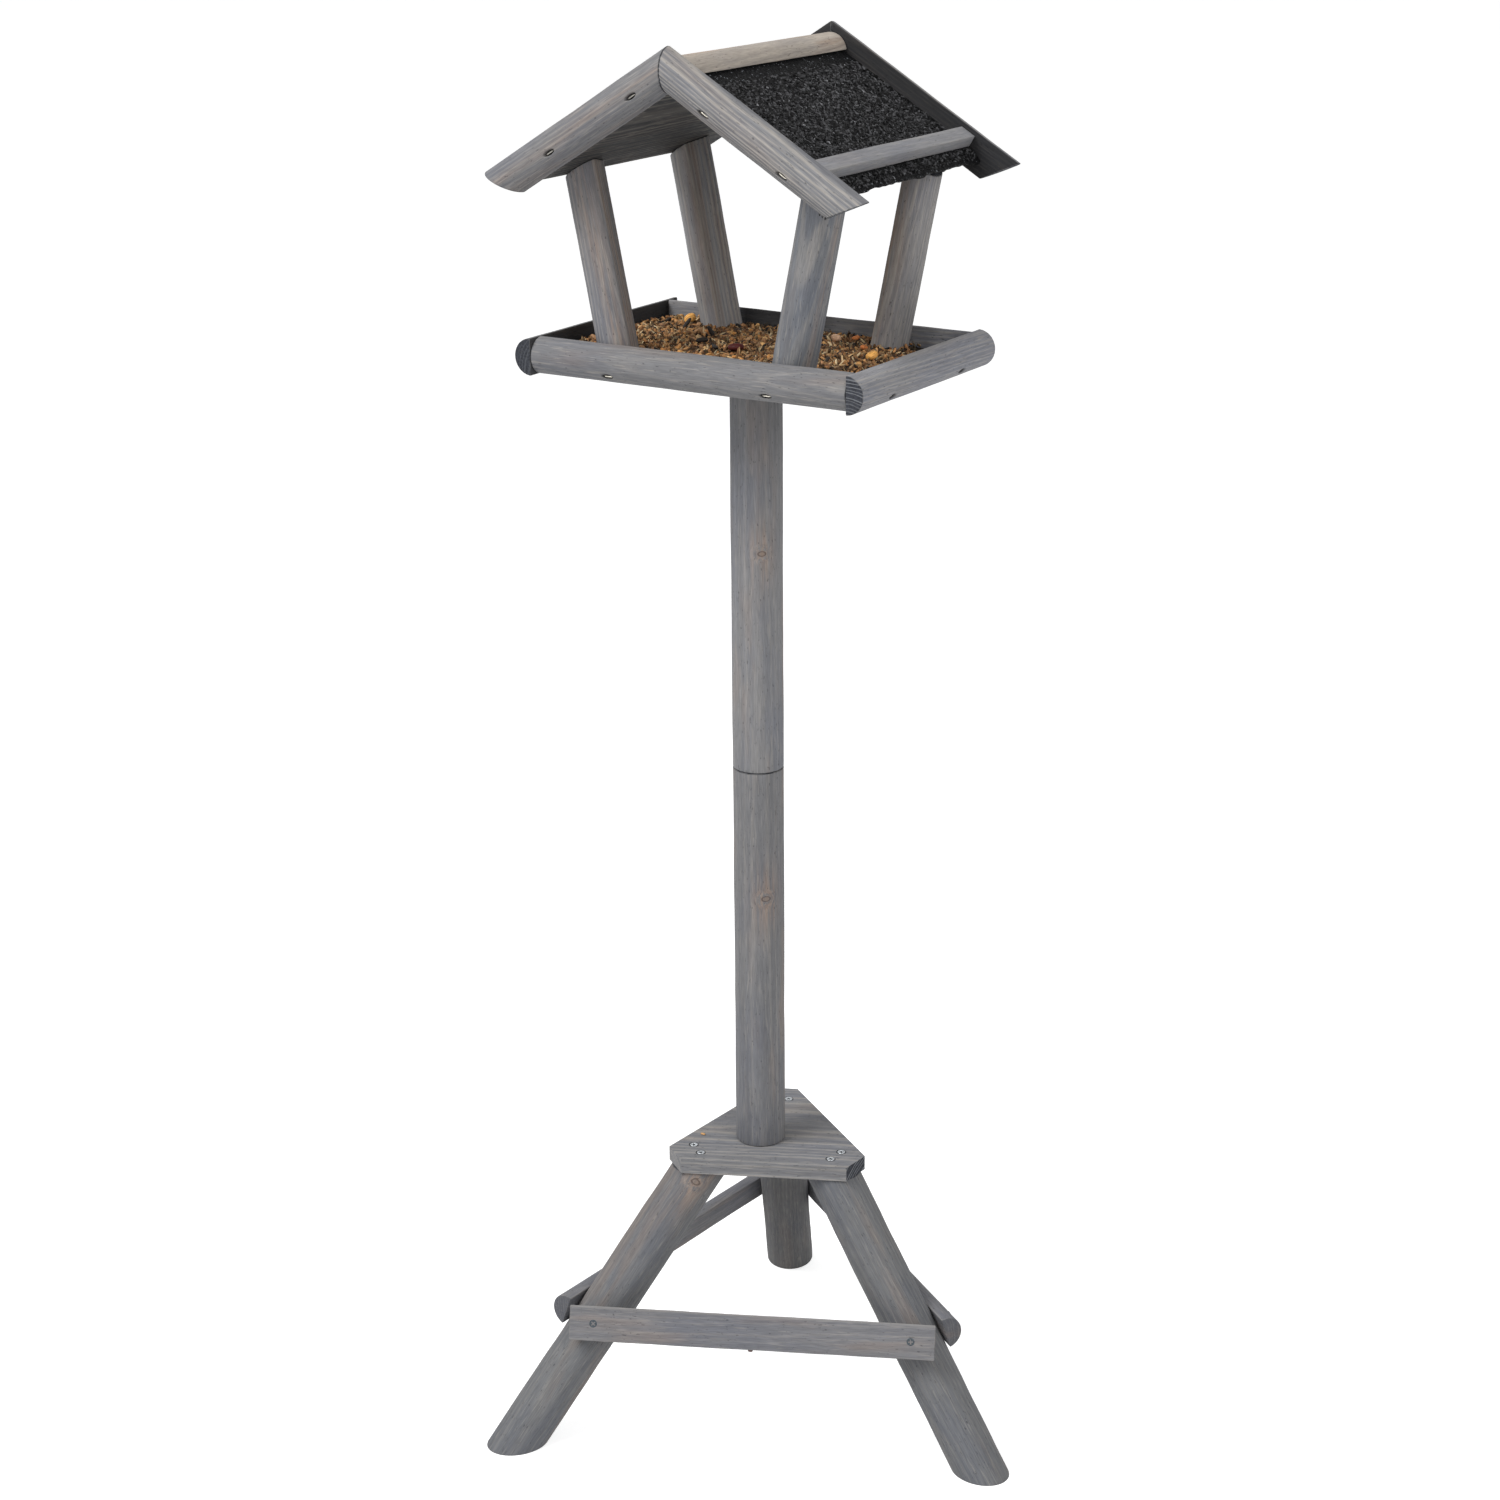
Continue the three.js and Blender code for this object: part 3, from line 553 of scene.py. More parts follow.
def new_material(name, **plain):
    """A material, its node tree and its shader, whose plain values are the same all over."""
    material = bpy.data.materials.new(name)
    material.use_nodes = True
    tree = material.node_tree
    shader = tree.nodes["Principled BSDF"]
    for label, value in plain.items():
        shader.inputs[label.replace("_", " ")].default_value = value
    return material, tree, shader


def remembered(tree, name, output="Fac"):
    """What a piece's points or faces remember under this name."""
    made = add(tree, "ShaderNodeAttribute", attribute_type="GEOMETRY", attribute_name=name)
    return made.outputs[output]


def feed(tree, shader, colour, rough=None, relief=None, strength=1.0, depth=0.0):
    """Links a colour, a roughness and a relief, whose depth is in metres, to the shader."""
    tree.links.new(colour, shader.inputs["Base Color"])
    if rough is not None:
        tree.links.new(rough, shader.inputs["Roughness"])
    if relief is not None:
        bump = add(tree, "ShaderNodeBump", strength, depth, None, relief)
        tree.links.new(bump.outputs[0], shader.inputs["Normal"])


# %% [markdown]
# ## Stained softwood
# The timber is pine or spruce, turned or planed, and dipped in a thin grey stain. Three things show
# through it. Growth rings: the log is a set of nested cylinders, so a point's distance from the pith,
# wobbled by noise, gives the ring it lies in, and a face that cuts the rings at a slant shows arches.
# Fibres: noise stretched a hundredfold along the log. Stain: broad clouds, bluish where it pooled and
# warm where it is thin. Sawn ends drink more stain, so they are darker, and arrises are rubbed pale.

# %% Node group: stained softwood
FLOAT, VECTOR, COLOUR = "NodeSocketFloat", "NodeSocketVector", "NodeSocketColor"
# The Inner input paints shade on flat sides, and the Hollow input paints shade into the staples' slits
softwood, given, result = new_group("stained_softwood", [
    ("Log", VECTOR, None), ("Cap", FLOAT, 0.0), ("Arris", FLOAT, 0.0), ("Knot", FLOAT, 0.0),
    ("Blush", FLOAT, 0.0), ("Inner", FLOAT, 0.0), ("Hollow", FLOAT, 0.0),
    ("Ring Width", FLOAT, 0.0026), ("Ring Strength", FLOAT, 0.5), ("Warmth", FLOAT, 0.3),
    ("Stain", COLOUR, paint(126, 127, 129)),
], [("Colour", COLOUR), ("Roughness", FLOAT), ("Height", FLOAT)])
tree = softwood
log = given["Log"]
stain = given["Stain"]


def times(factor):
    """The stain multiplied by a colour."""
    return blend(softwood, 1.0, stain, (*factor, 1.0), "MULTIPLY")


# Growth rings, bent a little and unevenly wide
wobble = vector_maths(tree, "MULTIPLY", log, (45, 45, 9))
wobble = add(tree, "ShaderNodeTexNoise", wobble, None, 1.0, 2.0)
wobble = vector_maths(tree, "SUBTRACT", wobble.outputs["Color"], (0.5, 0.5, 0.5))
wobble = vector_maths(tree, "MULTIPLY", wobble, (0.0045, 0.0045, 0.0))
bent = vector_maths(tree, "ADD", log, wobble)
from_pith = vector_maths(tree, "LENGTH", vector_maths(tree, "MULTIPLY", bent, (1, 1, 0)))
ring_count = maths(tree, "DIVIDE", from_pith, given["Ring Width"])
uneven = add(tree, "ShaderNodeTexNoise", None, ring_count, 0.4, 1.0, noise_dimensions="1D")
ring_count = maths(tree, "MULTIPLY_ADD", uneven.outputs["Fac"], 1.5, ring_count)
ring_wave = maths(tree, "SINE", maths(tree, "MULTIPLY", ring_count, 2 * math.pi))
ring_force = add(tree, "ShaderNodeTexNoise", None, ring_count, 0.31, 0.0, noise_dimensions="1D")
ring_force = remap(tree, ring_force.outputs["Fac"], 0.3, 0.7, 0.45, 1.0)
late = maths(tree, "MULTIPLY", remap(tree, ring_wave, 0.3, 0.98), ring_force)
early = maths(tree, "MULTIPLY", remap(tree, ring_wave, -0.4, -0.98), ring_force)

# Fibres of three lengths, clouds of stain, and small pits
hair = noise(tree, log, (900, 900, 55), 1.0, 0.5)
thread = noise(tree, log, (1700, 1700, 90), 1.0, 0.5)
streak = noise(tree, log, (330, 330, 13), 2.0, 0.55)
wide_streak = noise(tree, log, (95, 95, 5), 2.0, 0.5)
cloud = noise(tree, log, (30, 30, 11), 3.0, 0.6)
warm_cloud = noise(tree, vector_maths(tree, "ADD", log, (0.3, 0.7, 1.9)), (60, 60, 9), 2.0, 0.5)
speck = noise(tree, log, (900, 900, 260), 1.0)

pale = blend(tree, 0.5, stain, paint(190, 181, 168))
warm = blend(tree, 0.6, stain, paint(160, 134, 112))
colour = blend(tree, remap(tree, cloud, 0.42, 0.68, 0.0, 0.7), stain, times((0.8, 0.83, 0.91)))
warm_mask = maths(tree, "MULTIPLY", remap(tree, warm_cloud, 0.52, 0.7), given["Warmth"])
colour = blend(tree, warm_mask, colour, warm)
blush_mask = maths(tree, "MULTIPLY", given["Blush"], remap(tree, streak, 0.35, 0.6, 0.1, 0.75))
colour = blend(tree, blush_mask, colour, paint(150, 130, 115))
ring_pale = maths(tree, "MULTIPLY", late, given["Ring Strength"])
colour = blend(tree, ring_pale, colour, pale)
ring_dark = maths(tree, "MULTIPLY", early, maths(tree, "MULTIPLY", given["Ring Strength"], 0.75))
colour = blend(tree, ring_dark, colour, times((0.56, 0.58, 0.63)))
hair_force = maths(tree, "MULTIPLY_ADD", given["Ring Strength"], 2.4, 0.25)
hair_force = maths(tree, "MINIMUM", hair_force, 1.0)
hair_pale = maths(tree, "MULTIPLY", remap(tree, hair, 0.58, 0.72, 0.0, 0.42), hair_force)
hair_dark = maths(tree, "MULTIPLY", remap(tree, hair, 0.42, 0.28, 0.0, 0.34), hair_force)
colour = blend(tree, hair_pale, colour, pale)
colour = blend(tree, hair_dark, colour, times((0.62, 0.63, 0.65)))
tone = remap(tree, streak, 0.3, 0.7, 0.94, 1.06)
tone = maths(tree, "MULTIPLY", tone, remap(tree, wide_streak, 0.3, 0.7, 0.95, 1.05))
tone = maths(tree, "MULTIPLY", tone, remap(tree, thread, 0.3, 0.7, 0.9, 1.1))
tone = add(tree, "ShaderNodeCombineColor", tone, tone, tone).outputs[0]
colour = blend(tree, 1.0, colour, tone, "MULTIPLY")
speck_mask = remap(tree, speck, 0.68, 0.75, 0.0, 0.55)
colour = blend(tree, speck_mask, colour, paint(60, 60, 62))

# Sawn ends, rubbed arrises, knots, painted shade on the flat side and painted shade in the staples' slits
end_noise = noise(tree, log, (620, 620, 90), 2.0, 0.6)
end_dark = blend(tree, remap(tree, end_noise, 0.35, 0.65), paint(32, 35, 41), paint(55, 58, 66))
end_rings = maths(tree, "MULTIPLY", given["Ring Strength"], 1.3)
end_rings = maths(tree, "MULTIPLY", late, end_rings, clamp=True)
colour = blend(tree, maths(tree, "MULTIPLY", given["Cap"], 0.93), colour,
               blend(tree, end_rings, end_dark, paint(146, 149, 154)))
rubbed = maths(tree, "MULTIPLY", given["Arris"], remap(tree, wide_streak, 0.35, 0.65, 0.05, 0.35))
colour = blend(tree, rubbed, colour, paint(168, 164, 158))
knot_line = remap(tree, given["Knot"], 0.2, 0.45)
knot_line = maths(tree, "MULTIPLY", knot_line, remap(tree, given["Knot"], 0.9, 0.65))
colour = blend(tree, remap(tree, given["Knot"], 0.6, 0.95, 0.0, 0.5), colour, paint(132, 116, 104))
colour = blend(tree, maths(tree, "MULTIPLY", knot_line, 0.7), colour, paint(78, 68, 64))
# Painted shade: the flat side, which looks into the tray or lies under the roof, is darkened
painted_flat_shade = blend(tree, 1.0, colour, (0.15, 0.15, 0.153, 1), "MULTIPLY")
colour = blend(tree, given["Inner"], colour, painted_flat_shade)
# Painted shade in the staples' slits
colour = blend(tree, maths(tree, "MULTIPLY", given["Hollow"], 0.9), colour, paint(26, 25, 24))
tree.links.new(colour, result["Colour"])

rough = remap(tree, streak, 0.3, 0.7, 0.68, 0.84)
tree.links.new(maths(tree, "MULTIPLY_ADD", given["Cap"], 0.1, rough), result["Roughness"])
relief = maths(tree, "MULTIPLY_ADD", ring_pale, 0.6, maths(tree, "MULTIPLY", hair, 0.9))
relief = maths(tree, "MULTIPLY_ADD", streak, 0.4, relief)
relief = maths(tree, "MULTIPLY_ADD", maths(tree, "MULTIPLY", end_noise, given["Cap"]), 2.0, relief)
relief = maths(tree, "MULTIPLY_ADD", speck_mask, -0.8, relief)
tree.links.new(relief, result["Height"])
print("softwood group:", len(tree.nodes), "nodes")

# %% [markdown]
# Each piece of timber uses the group with its own values: wide or narrow rings, strong or faint, a
# stain that took warmer or cooler. The shader itself stays in the material, where its gloss is set.

# %% Timber materials


def timber(name, ring_width, ring_strength, warmth, stain):
    """One stained timber: the softwood group, feeding a matt shader and a fine relief."""
    material, tree, shader = new_material(name, Specular_IOR_Level=0.2)
    grain = add(tree, "ShaderNodeGroup", node_tree=softwood)
    for field in ("log", "cap", "arris", "knot", "blush", "inner", "hollow"):
        output = "Vector" if field == "log" else "Fac"
        tree.links.new(remembered(tree, field, output), grain.inputs[field.capitalize()])
    for label, value in (("Ring Width", ring_width * mm), ("Ring Strength", ring_strength),
                         ("Warmth", warmth), ("Stain", paint(*stain))):
        grain.inputs[label].default_value = value
    feed(tree, shader, grain.outputs["Colour"], grain.outputs["Roughness"], grain.outputs["Height"],
         depth=0.25 * mm)
    return material


pole_wood = timber("pole_wood", 3.6, 0.16, 0.3, (110, 111, 113))
# A darker copy of the pole stain for the rear leg: painted shade under the plate
shaded_pole_wood = timber("shaded_pole_wood", 3.4, 0.1, 0.1, (92, 92, 93))
post_wood = timber("post_wood", 4.2, 0.16, 0.3, (127, 127, 129))
# A darker copy of the post's stain for the lower pole: painted shade, where the light falls dimmer
shaded_post_wood = timber("shaded_post_wood", 4.0, 0.16, 0.3, (118, 118, 120))
slat_wood = timber("slat_wood", 2.8, 0.28, 0.25, (119, 119, 121))
brace_wood = timber("brace_wood", 2.8, 0.16, 0.3, (118, 118, 121))
ringed_wood = timber("ringed_wood", 2.6, 0.42, 0.1, (141, 141, 144))
plain_wood = timber("plain_wood", 3.0, 0.1, 0.2, (122, 123, 125))
lined_wood = timber("lined_wood", 2.6, 0.82, 0.3, (124, 124, 126))
pillar_wood = timber("pillar_wood", 2.9, 0.42, 0.1, (115, 117, 121))
cool_wood = timber("cool_wood", 3.5, 0.5, 0.1, (124, 124, 127))
brown_wood = timber("brown_wood", 2.7, 0.5, 0.5, (140, 138, 138))
striped_wood = timber("striped_wood", 3.5, 0.85, 0.5, (160, 160, 162))
batten_wood = timber("batten_wood", 3.2, 0.12, 0.1, (132, 132, 135))
ridge_wood = timber("ridge_wood", 4.5, 0.5, 0.9, (168, 159, 149))
plate_wood = timber("plate_wood", 3.4, 0.6, 0.3, (127, 127, 129))
# The roof boards show only their underside, so their very dark stain is painted shade under the roof
board_wood = timber("board_wood", 3.6, 0.3, 0.05, (40, 41, 43))
# The tray floor shows only deep in the tray, so its dark stain is painted shade
shaded_floor_wood = timber("shaded_floor_wood", 3.6, 0.25, 0.1, (80, 80, 82))
print("timbers:", sum(material.name.endswith("_wood") for material in bpy.data.materials))

# %% [markdown]
# ## The tripod legs
# A leg is a round pole that leans outward, sawn level at its foot and level again under the plate. Both
# cuts slant across the pole, so both ends are ellipses. The bar function needs only the two level
# planes to make them.

# %% Legs
leg_turns = [math.pi * share + stand_turn for share in (-5 / 6, -1 / 6, 1 / 2)]
leg_names = ["front_left", "front_right", "rear"]
z_up = np.array([0.0, 0.0, 1.0])
legs = []
for index, (name, angle) in enumerate(zip(leg_names, leg_turns)):
    radial = np.array([math.cos(angle), math.sin(angle), 0.0])
    foot = radial * leg_foot_spread
    top = plate_middle + radial * leg_top_spread + z_up * leg_height
    lean = unit_length(top - foot)
    outward = unit_length(np.cross(lean, np.cross(z_up, radial)))
    legs.append({"foot": foot, "axis": lean, "radial": radial})
    piece = bar(f"leg_{name}_pole", circle(leg_diameter), foot, np.cross(outward, lean), outward,
                ((0, 0, 0), z_up), ((0, 0, leg_height - seat_gap), z_up), seed=100 + 7 * index,
                pith=(60 + 9 * index, -38 + 21 * index), tilt=(0.02, -0.012), bow=0.5,
                knots=[((-22.4, -64.4, 214.7), 4.2)] if name == "front_left" else (),
                warm=[((9, 18), (2, 20), 4, 0.8)] if name == "front_right" else ())
    # The rear leg takes the copy with painted shade
    wood = shaded_pole_wood if name == "rear" else pole_wood
    finish_piece(piece, wood, "grey_wood", "leg_" + name)
print("leg leans", round(math.degrees(math.acos(legs[0]["axis"][2])), 1), "degrees")

# %% [markdown]
# ## The post
# Two turned poles stand end to end. Each has a small knot, round which the grain bends. The bar's rows
# are closer together there, so that the grain's coordinates can bend smoothly.

# %% Post
post_halves = [
    ("post_upper", upper_foot, upper_foot + upper_post, post_wood, ((13.6, -14.7, 734.5), 3.4), 211),
    ("post_lower", post_foot, post_joint, shaded_post_wood, ((14.7, -13.5, 452.2), 3.8), 223),
]
for name, low, high, wood, knot, seed in post_halves:
    piece = bar(name + "_pole", circle(post_diameter, 120), (0, 0, 0), (1, 0, 0), (0, 1, 0),
                ((0, 0, low), z_up), ((0, 0, high), z_up), seed=seed, pith=(-46, 58), tilt=(0.006, 0.012),
                knots=[knot], bow=0.3)
    finish_piece(piece, wood, "grey_wood", name)
print("post joint at", post_joint, "mm")

# %% [markdown]
# ## The plate
# The plate is one board with three cut corners. Its solid already has the flat faces and the screw
# bores, so a merged copy with its edges bevelled is nearer to the real board than a new surface would
# be. The grain's coordinates are worked out from the copy's own points.

# %% Copies of flat boards


def board_copy(name, node, grain_axis, log_start, pith=(40.0, 90.0), bevel=0.7):
    """A merged copy of a flat solid with eased edges; its log runs along the given axis."""
    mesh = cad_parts[node].data.copy()
    mesh.materials.clear()
    piece = add_object(name, mesh)
    bpy.ops.object.select_all(action="DESELECT")
    piece.select_set(True)
    bpy.context.view_layer.objects.active = piece
    bpy.ops.object.mode_set(mode="EDIT")
    bpy.ops.mesh.select_all(action="SELECT")
    bpy.ops.mesh.remove_doubles(threshold=1e-5)
    bpy.ops.mesh.dissolve_limited(angle_limit=math.radians(0.5))
    bpy.ops.object.mode_set(mode="OBJECT")
    ease = piece.modifiers.new("eased_edges", "BEVEL")
    ease.width, ease.segments, ease.limit_method = bevel * mm, 2, "ANGLE"
    ease.angle_limit = math.radians(50)
    bpy.ops.object.modifier_apply(modifier=ease.name)
    mesh = piece.data
    mesh.polygons.foreach_set("use_smooth", np.zeros(len(mesh.polygons), bool))
    co = read_rows(mesh.vertices, "co")
    along = np.asarray(grain_axis, float)
    side = np.cross(along, z_up)
    log = np.stack([co @ side + pith[0] * mm, co @ z_up + pith[1] * mm, co @ along + log_start], -1)
    log[:, 1] -= co[:, 2].mean()
    store(mesh, "log", log)
    normals = read_rows(mesh.polygons, "normal")
    sawn = np.clip((normals @ along - 0.35) / 0.3, 0, 1) * (np.abs(normals[:, 2]) < 0.1)
    slanted = np.abs(np.abs(normals[:, 2]) - 0.5) < 0.45
    store(mesh, "cap", sawn, "FACE")
    store(mesh, "arris", slanted, "FACE")
    return piece


plate_grain = np.array([math.cos(stand_turn), math.sin(stand_turn), 0])
plate_piece = board_copy("plate_board", "tripod_plate", plate_grain, 3.1)
finish_piece(plate_piece, plate_wood, "grey_wood", "tripod_plate")
print("plate faces:", len(plate_piece.data.polygons))

# %% [markdown]
# ## The braces
# Three half round slats tie the legs together. Each lies on the plane through two legs' axes, moved
# out by a leg's radius. The front one is turned round and shows its flat side.

# %% Braces
brace_ends = [("front", ("front_left", "front_right")), ("right", ("front_right", "rear")),
              ("left", ("rear", "front_left"))]
brace_screws = []
for index, (name, leg_pair) in enumerate(brace_ends):
    pair = [legs[leg_names.index(leg_name)] for leg_name in leg_pair]
    crossings = [leg["foot"] + leg["axis"] * brace_height / leg["axis"][2] for leg in pair]
    span = np.linalg.norm(crossings[1] - crossings[0])
    along = (crossings[1] - crossings[0]) / span
    outward = unit_length(np.cross(along, pair[0]["axis"] + pair[1]["axis"]))
    upward = np.cross(outward, along)
    twist = sum(abs(outward @ leg["axis"]) for leg in pair)
    clear = leg_diameter / 2 + seat_gap + twist * slat_width / 2
    flat_outside = name == "front"
    flat_at = (crossings[0] + crossings[1]) / 2 + outward * (clear + slat_thickness * flat_outside)
    round_to = -outward if flat_outside else outward
    lengthways = np.cross(upward, round_to)
    piece = bar(f"brace_{name}_slat", half_round(ease=0.5 if flat_outside else 0.8), flat_at, upward,
                round_to, *square_cuts(flat_at, lengthways, span / 2 + brace_overhang),
                seed=300 + 11 * index, pith=(25 - 30 * index, 48), tilt=(0.01, 0.014), bow=0.3, sawn=0.35)
    finish_piece(piece, brace_wood, "grey_wood", "brace_" + name)
    for leg_name, crossing in zip(leg_pair, crossings):
        head = crossing + outward * (clear + slat_thickness)
        brace_screws.append((f"brace_screw_{name}_{leg_name}", head, outward, along))
    if name == "front":
        drip_place = flat_at - upward * (slat_width / 2 + 0.5) - outward * 1.2
        drip_axes = np.array([-along, outward, upward])
print("braces", round(span + 2 * brace_overhang, 1), "mm long")

# %% [markdown]
# ## The tray
# Four half round rails stand round the floor, flat side in. Wire staples hold them. Each staple's
# crown lies in a short slit that the stapler's nose crushed into the rounded face, and the slit is a
# real dent here: points near it are moved straight in, and they remember how deep they lie, so that
# the material can paint shade into them.

# %% A slat that will hold staples


def slat_with_staples(height, fine=0.35, reach=2.4):
    """A half round outline whose points crowd together at the staples' height.

    The crown is an arc of radius (width^2 / 4 + thickness^2) / (2 * thickness) about the flat's middle.
    """
    points, worn = half_round(count=90)
    radius = (slat_width ** 2 / 4 + slat_thickness ** 2) / (2 * slat_thickness)
    u = np.arange(height - reach, height + reach, fine)
    extra = np.stack([u, slat_thickness - radius + np.sqrt(radius ** 2 - u ** 2)], 1)
    clear = (points[:, 1] < 1.0) | (np.abs(points[:, 0] - height) > reach + 0.2)
    points, worn = np.vstack([points[clear], extra]), np.append(worn[clear], np.zeros(len(extra)))
    order = np.argsort(np.arctan2(points[:, 1] - slat_thickness * 0.35, points[:, 0]))
    return points[order], worn[order]


print("points round a stapled slat:", len(slat_with_staples(-8)[0]))

# %% Rails
rails = [
    ("front", np.array([0.0, -1, 0]), floor_depth / 2, floor_width, 68, slat_wood, (14, 34), 401),
    ("back", np.array([0.0, 1, 0]), floor_depth / 2, floor_width, 68, ringed_wood, (14, 34), 422),
    ("left", np.array([-1.0, 0, 0]), floor_width / 2, tray_depth, 52, plain_wood, (14, 34), 443),
    ("right", np.array([1.0, 0, 0]), floor_width / 2, tray_depth, 52, ringed_wood, (52, 6), 464),
]
# How much painted shade darkens each rail's flat side, which looks into the tray, along its length
rail_flat_shade = {
    "front": ((0, 0.9),),
    "back": ((-20, 0.05), (0, 0.88), (62, 0.88), (72, 0)),
    "left": ((0, 0.88),),
    "right": ((0, 0.85),),
}
rail_height = floor_under + slat_width / 2
staple_height = floor_thickness / 2 - slat_width / 2
for name, out, edge, length, spread, wood, pith, seed in rails:
    flat_at = out * (edge + seat_gap) + z_up * rail_height
    piece = bar(f"rail_{name}_slat", slat_with_staples(staple_height), flat_at, z_up, out,
                *square_cuts(flat_at, np.cross(z_up, out), length / 2), seed=seed, pith=pith,
                tilt=(0.012, 0.02), slits=((-spread, spread), staple_height),
                shaded_flat=rail_flat_shade[name])
    finish_piece(piece, wood, "grey_wood", "rail_" + name)
print("staples lie", round(rail_height + staple_height, 1), "mm up")

# %% [markdown]
# The floor is a plain board that shows only where the seed lies thin. Its grain runs the long way.

# %% Tray floor
floor_piece = board_copy("floor_board", "tray_floor", np.array([1.0, 0, 0]), 5.7)
finish_piece(floor_piece, shaded_floor_wood, "board_wood", "tray_floor")
print("tray floor faces:", len(floor_piece.data.polygons))

# %% [markdown]
# ## The pillars
# Each pillar is a round pole with one planed flat. It leans outward and is turned so that the flat
# looks at the middle of the tray. Its foot is level and its head follows the roof's underside.

# %% Pillars
# wood, pith, tilt, painted shade on the flat and warm bands of each pillar
pillar_grain = {
    "front_left": (cool_wood, (44, 4), (0.03, 0.0), ((0, 0),),
                   [((-14, 5), (-13, 13), 6, 0.9), ((0, 0), (-4, 0), 9, 1.3)]),
    # Painted shade under the roof darkens the back left pillar's flat towards its head
    "back_left": (striped_wood, (40, 9), (0.004, 0.0), ((0, 0), (110, 0), (170, 0.5)),
                  [((-10, 0), (-9, 0), 5, 1.1), ((4, 0), (6, 0), 4, 0.6)]),
    "front_right": (pillar_wood, (16, -6), (0.03, 0.033), ((0, 0),), [((2, 27), (-3, 27), 3, 0.7)]),
    "back_right": (brown_wood, (30, -30), (0.03, 0.02), ((0, 0),), [((9, 2), (11, 3), 8, 0.9)]),
}
for end_name, end, side_name, side in table_corners:
    corner = f"{end_name}_{side_name}"
    foot = np.array([side * pillar_foot_spread, end * pillar_foot_y, floor_top])
    lean = np.array([side * math.sin(pillar_lean), 0, math.cos(pillar_lean)])
    inward = np.array([-side * math.cos(pillar_turn), -end * math.sin(pillar_turn), 0])
    across = unit_length(np.cross(lean, inward))
    out = np.cross(lean, across)
    base = foot - out * (pillar_depth - pillar_diameter / 2)
    roof_normal = np.array([side * math.sin(roof_pitch), 0, math.cos(roof_pitch)])
    roof_point = np.array([0, 0, ridge - seat_gap / math.cos(roof_pitch)])
    wood, pith, tilt, shaded_flat, warm = pillar_grain[corner]
    piece = bar(f"pillar_{corner}_pole", flattened(pillar_diameter, pillar_depth, ease=1.0), base,
                across, out, ((0, 0, floor_top + seat_gap), z_up), (roof_point, roof_normal),
                seed=500 + 13 * end + 5 * side, pith=pith, tilt=tilt, bow=0.35, shaded_flat=shaded_flat,
                warm=warm)
    finish_piece(piece, wood, "warm_wood", "pillar_" + corner)
print("pillars lean", round(math.degrees(pillar_lean), 1), "degrees")

# %% [markdown]
# ## The roof's timber
# Two boards lie on the pillars and meet at the ridge. Their grain runs along the ridge. Half round
# gable boards cover their ends, sawn upright at the ridge and at a slant at the eaves. A place on a
# slope is given by s, the way down from the ridge, and n, the height off the boards' underside.

# %% Places on a slope


def on_slope(side, s, n, y):
    """The place (side * (s cos p + n sin p), y, ridge - s sin p + n cos p), where p is the pitch."""
    x = side * (s * math.cos(roof_pitch) + n * math.sin(roof_pitch))
    z = ridge - s * math.sin(roof_pitch) + n * math.cos(roof_pitch)
    return np.array([x, y, z])


def down_slope(side):
    """The direction straight down a slope."""
    return np.array([side * math.cos(roof_pitch), 0, -math.sin(roof_pitch)])


def off_slope(side):
    """The direction straight off a slope."""
    return np.array([side * math.sin(roof_pitch), 0, math.cos(roof_pitch)])


x_axis, y_axis = np.array([1.0, 0.0, 0.0]), np.array([0.0, 1.0, 0.0])
board_start = ridge_opening / 2 / math.cos(roof_pitch)
felt_under = roof_board_thickness + seat_gap
felt_upper = felt_under + felt_thickness
batten_under = felt_upper + seat_gap


def strip(name, side, s_span, n_span, length, wood, slot, node, seed, ease=0.8):
    """A board or batten along the ridge: a rectangle on the slope, carried along y."""
    half, thick = (s_span[1] - s_span[0]) / 2, n_span[1] - n_span[0]
    outline = eased([(half, 0), (half, thick), (-half, thick), (-half, 0)], ease)
    origin = on_slope(side, (s_span[0] + s_span[1]) / 2, n_span[0], 0)
    across, out = down_slope(side), off_slope(side)
    piece = bar(name, outline, origin, across, out,
                *square_cuts(origin, np.cross(across, out), length / 2), seed=seed, pith=(30, 42),
                tilt=(0.02, 0.01), bow=0.2)
    return finish_piece(piece, wood, slot, node)


for side_name, side in table_sides:
    strip(f"roof_{side_name}_board", side, (board_start, roof_board_eave), (0, roof_board_thickness),
          roof_length, board_wood, "board_wood", "roof_board_" + side_name, 600 + side)
    strip(f"eave_{side_name}_batten", side, (roof_board_eave - eave_batten_width, roof_board_eave),
          (batten_under, batten_under + eave_batten_height), roof_length - seat_gap, batten_wood,
          "grey_wood", "eave_batten_" + side_name, 620 + side, ease=0.6)
print("roof boards", round(roof_board_eave - board_start, 1), "mm wide")

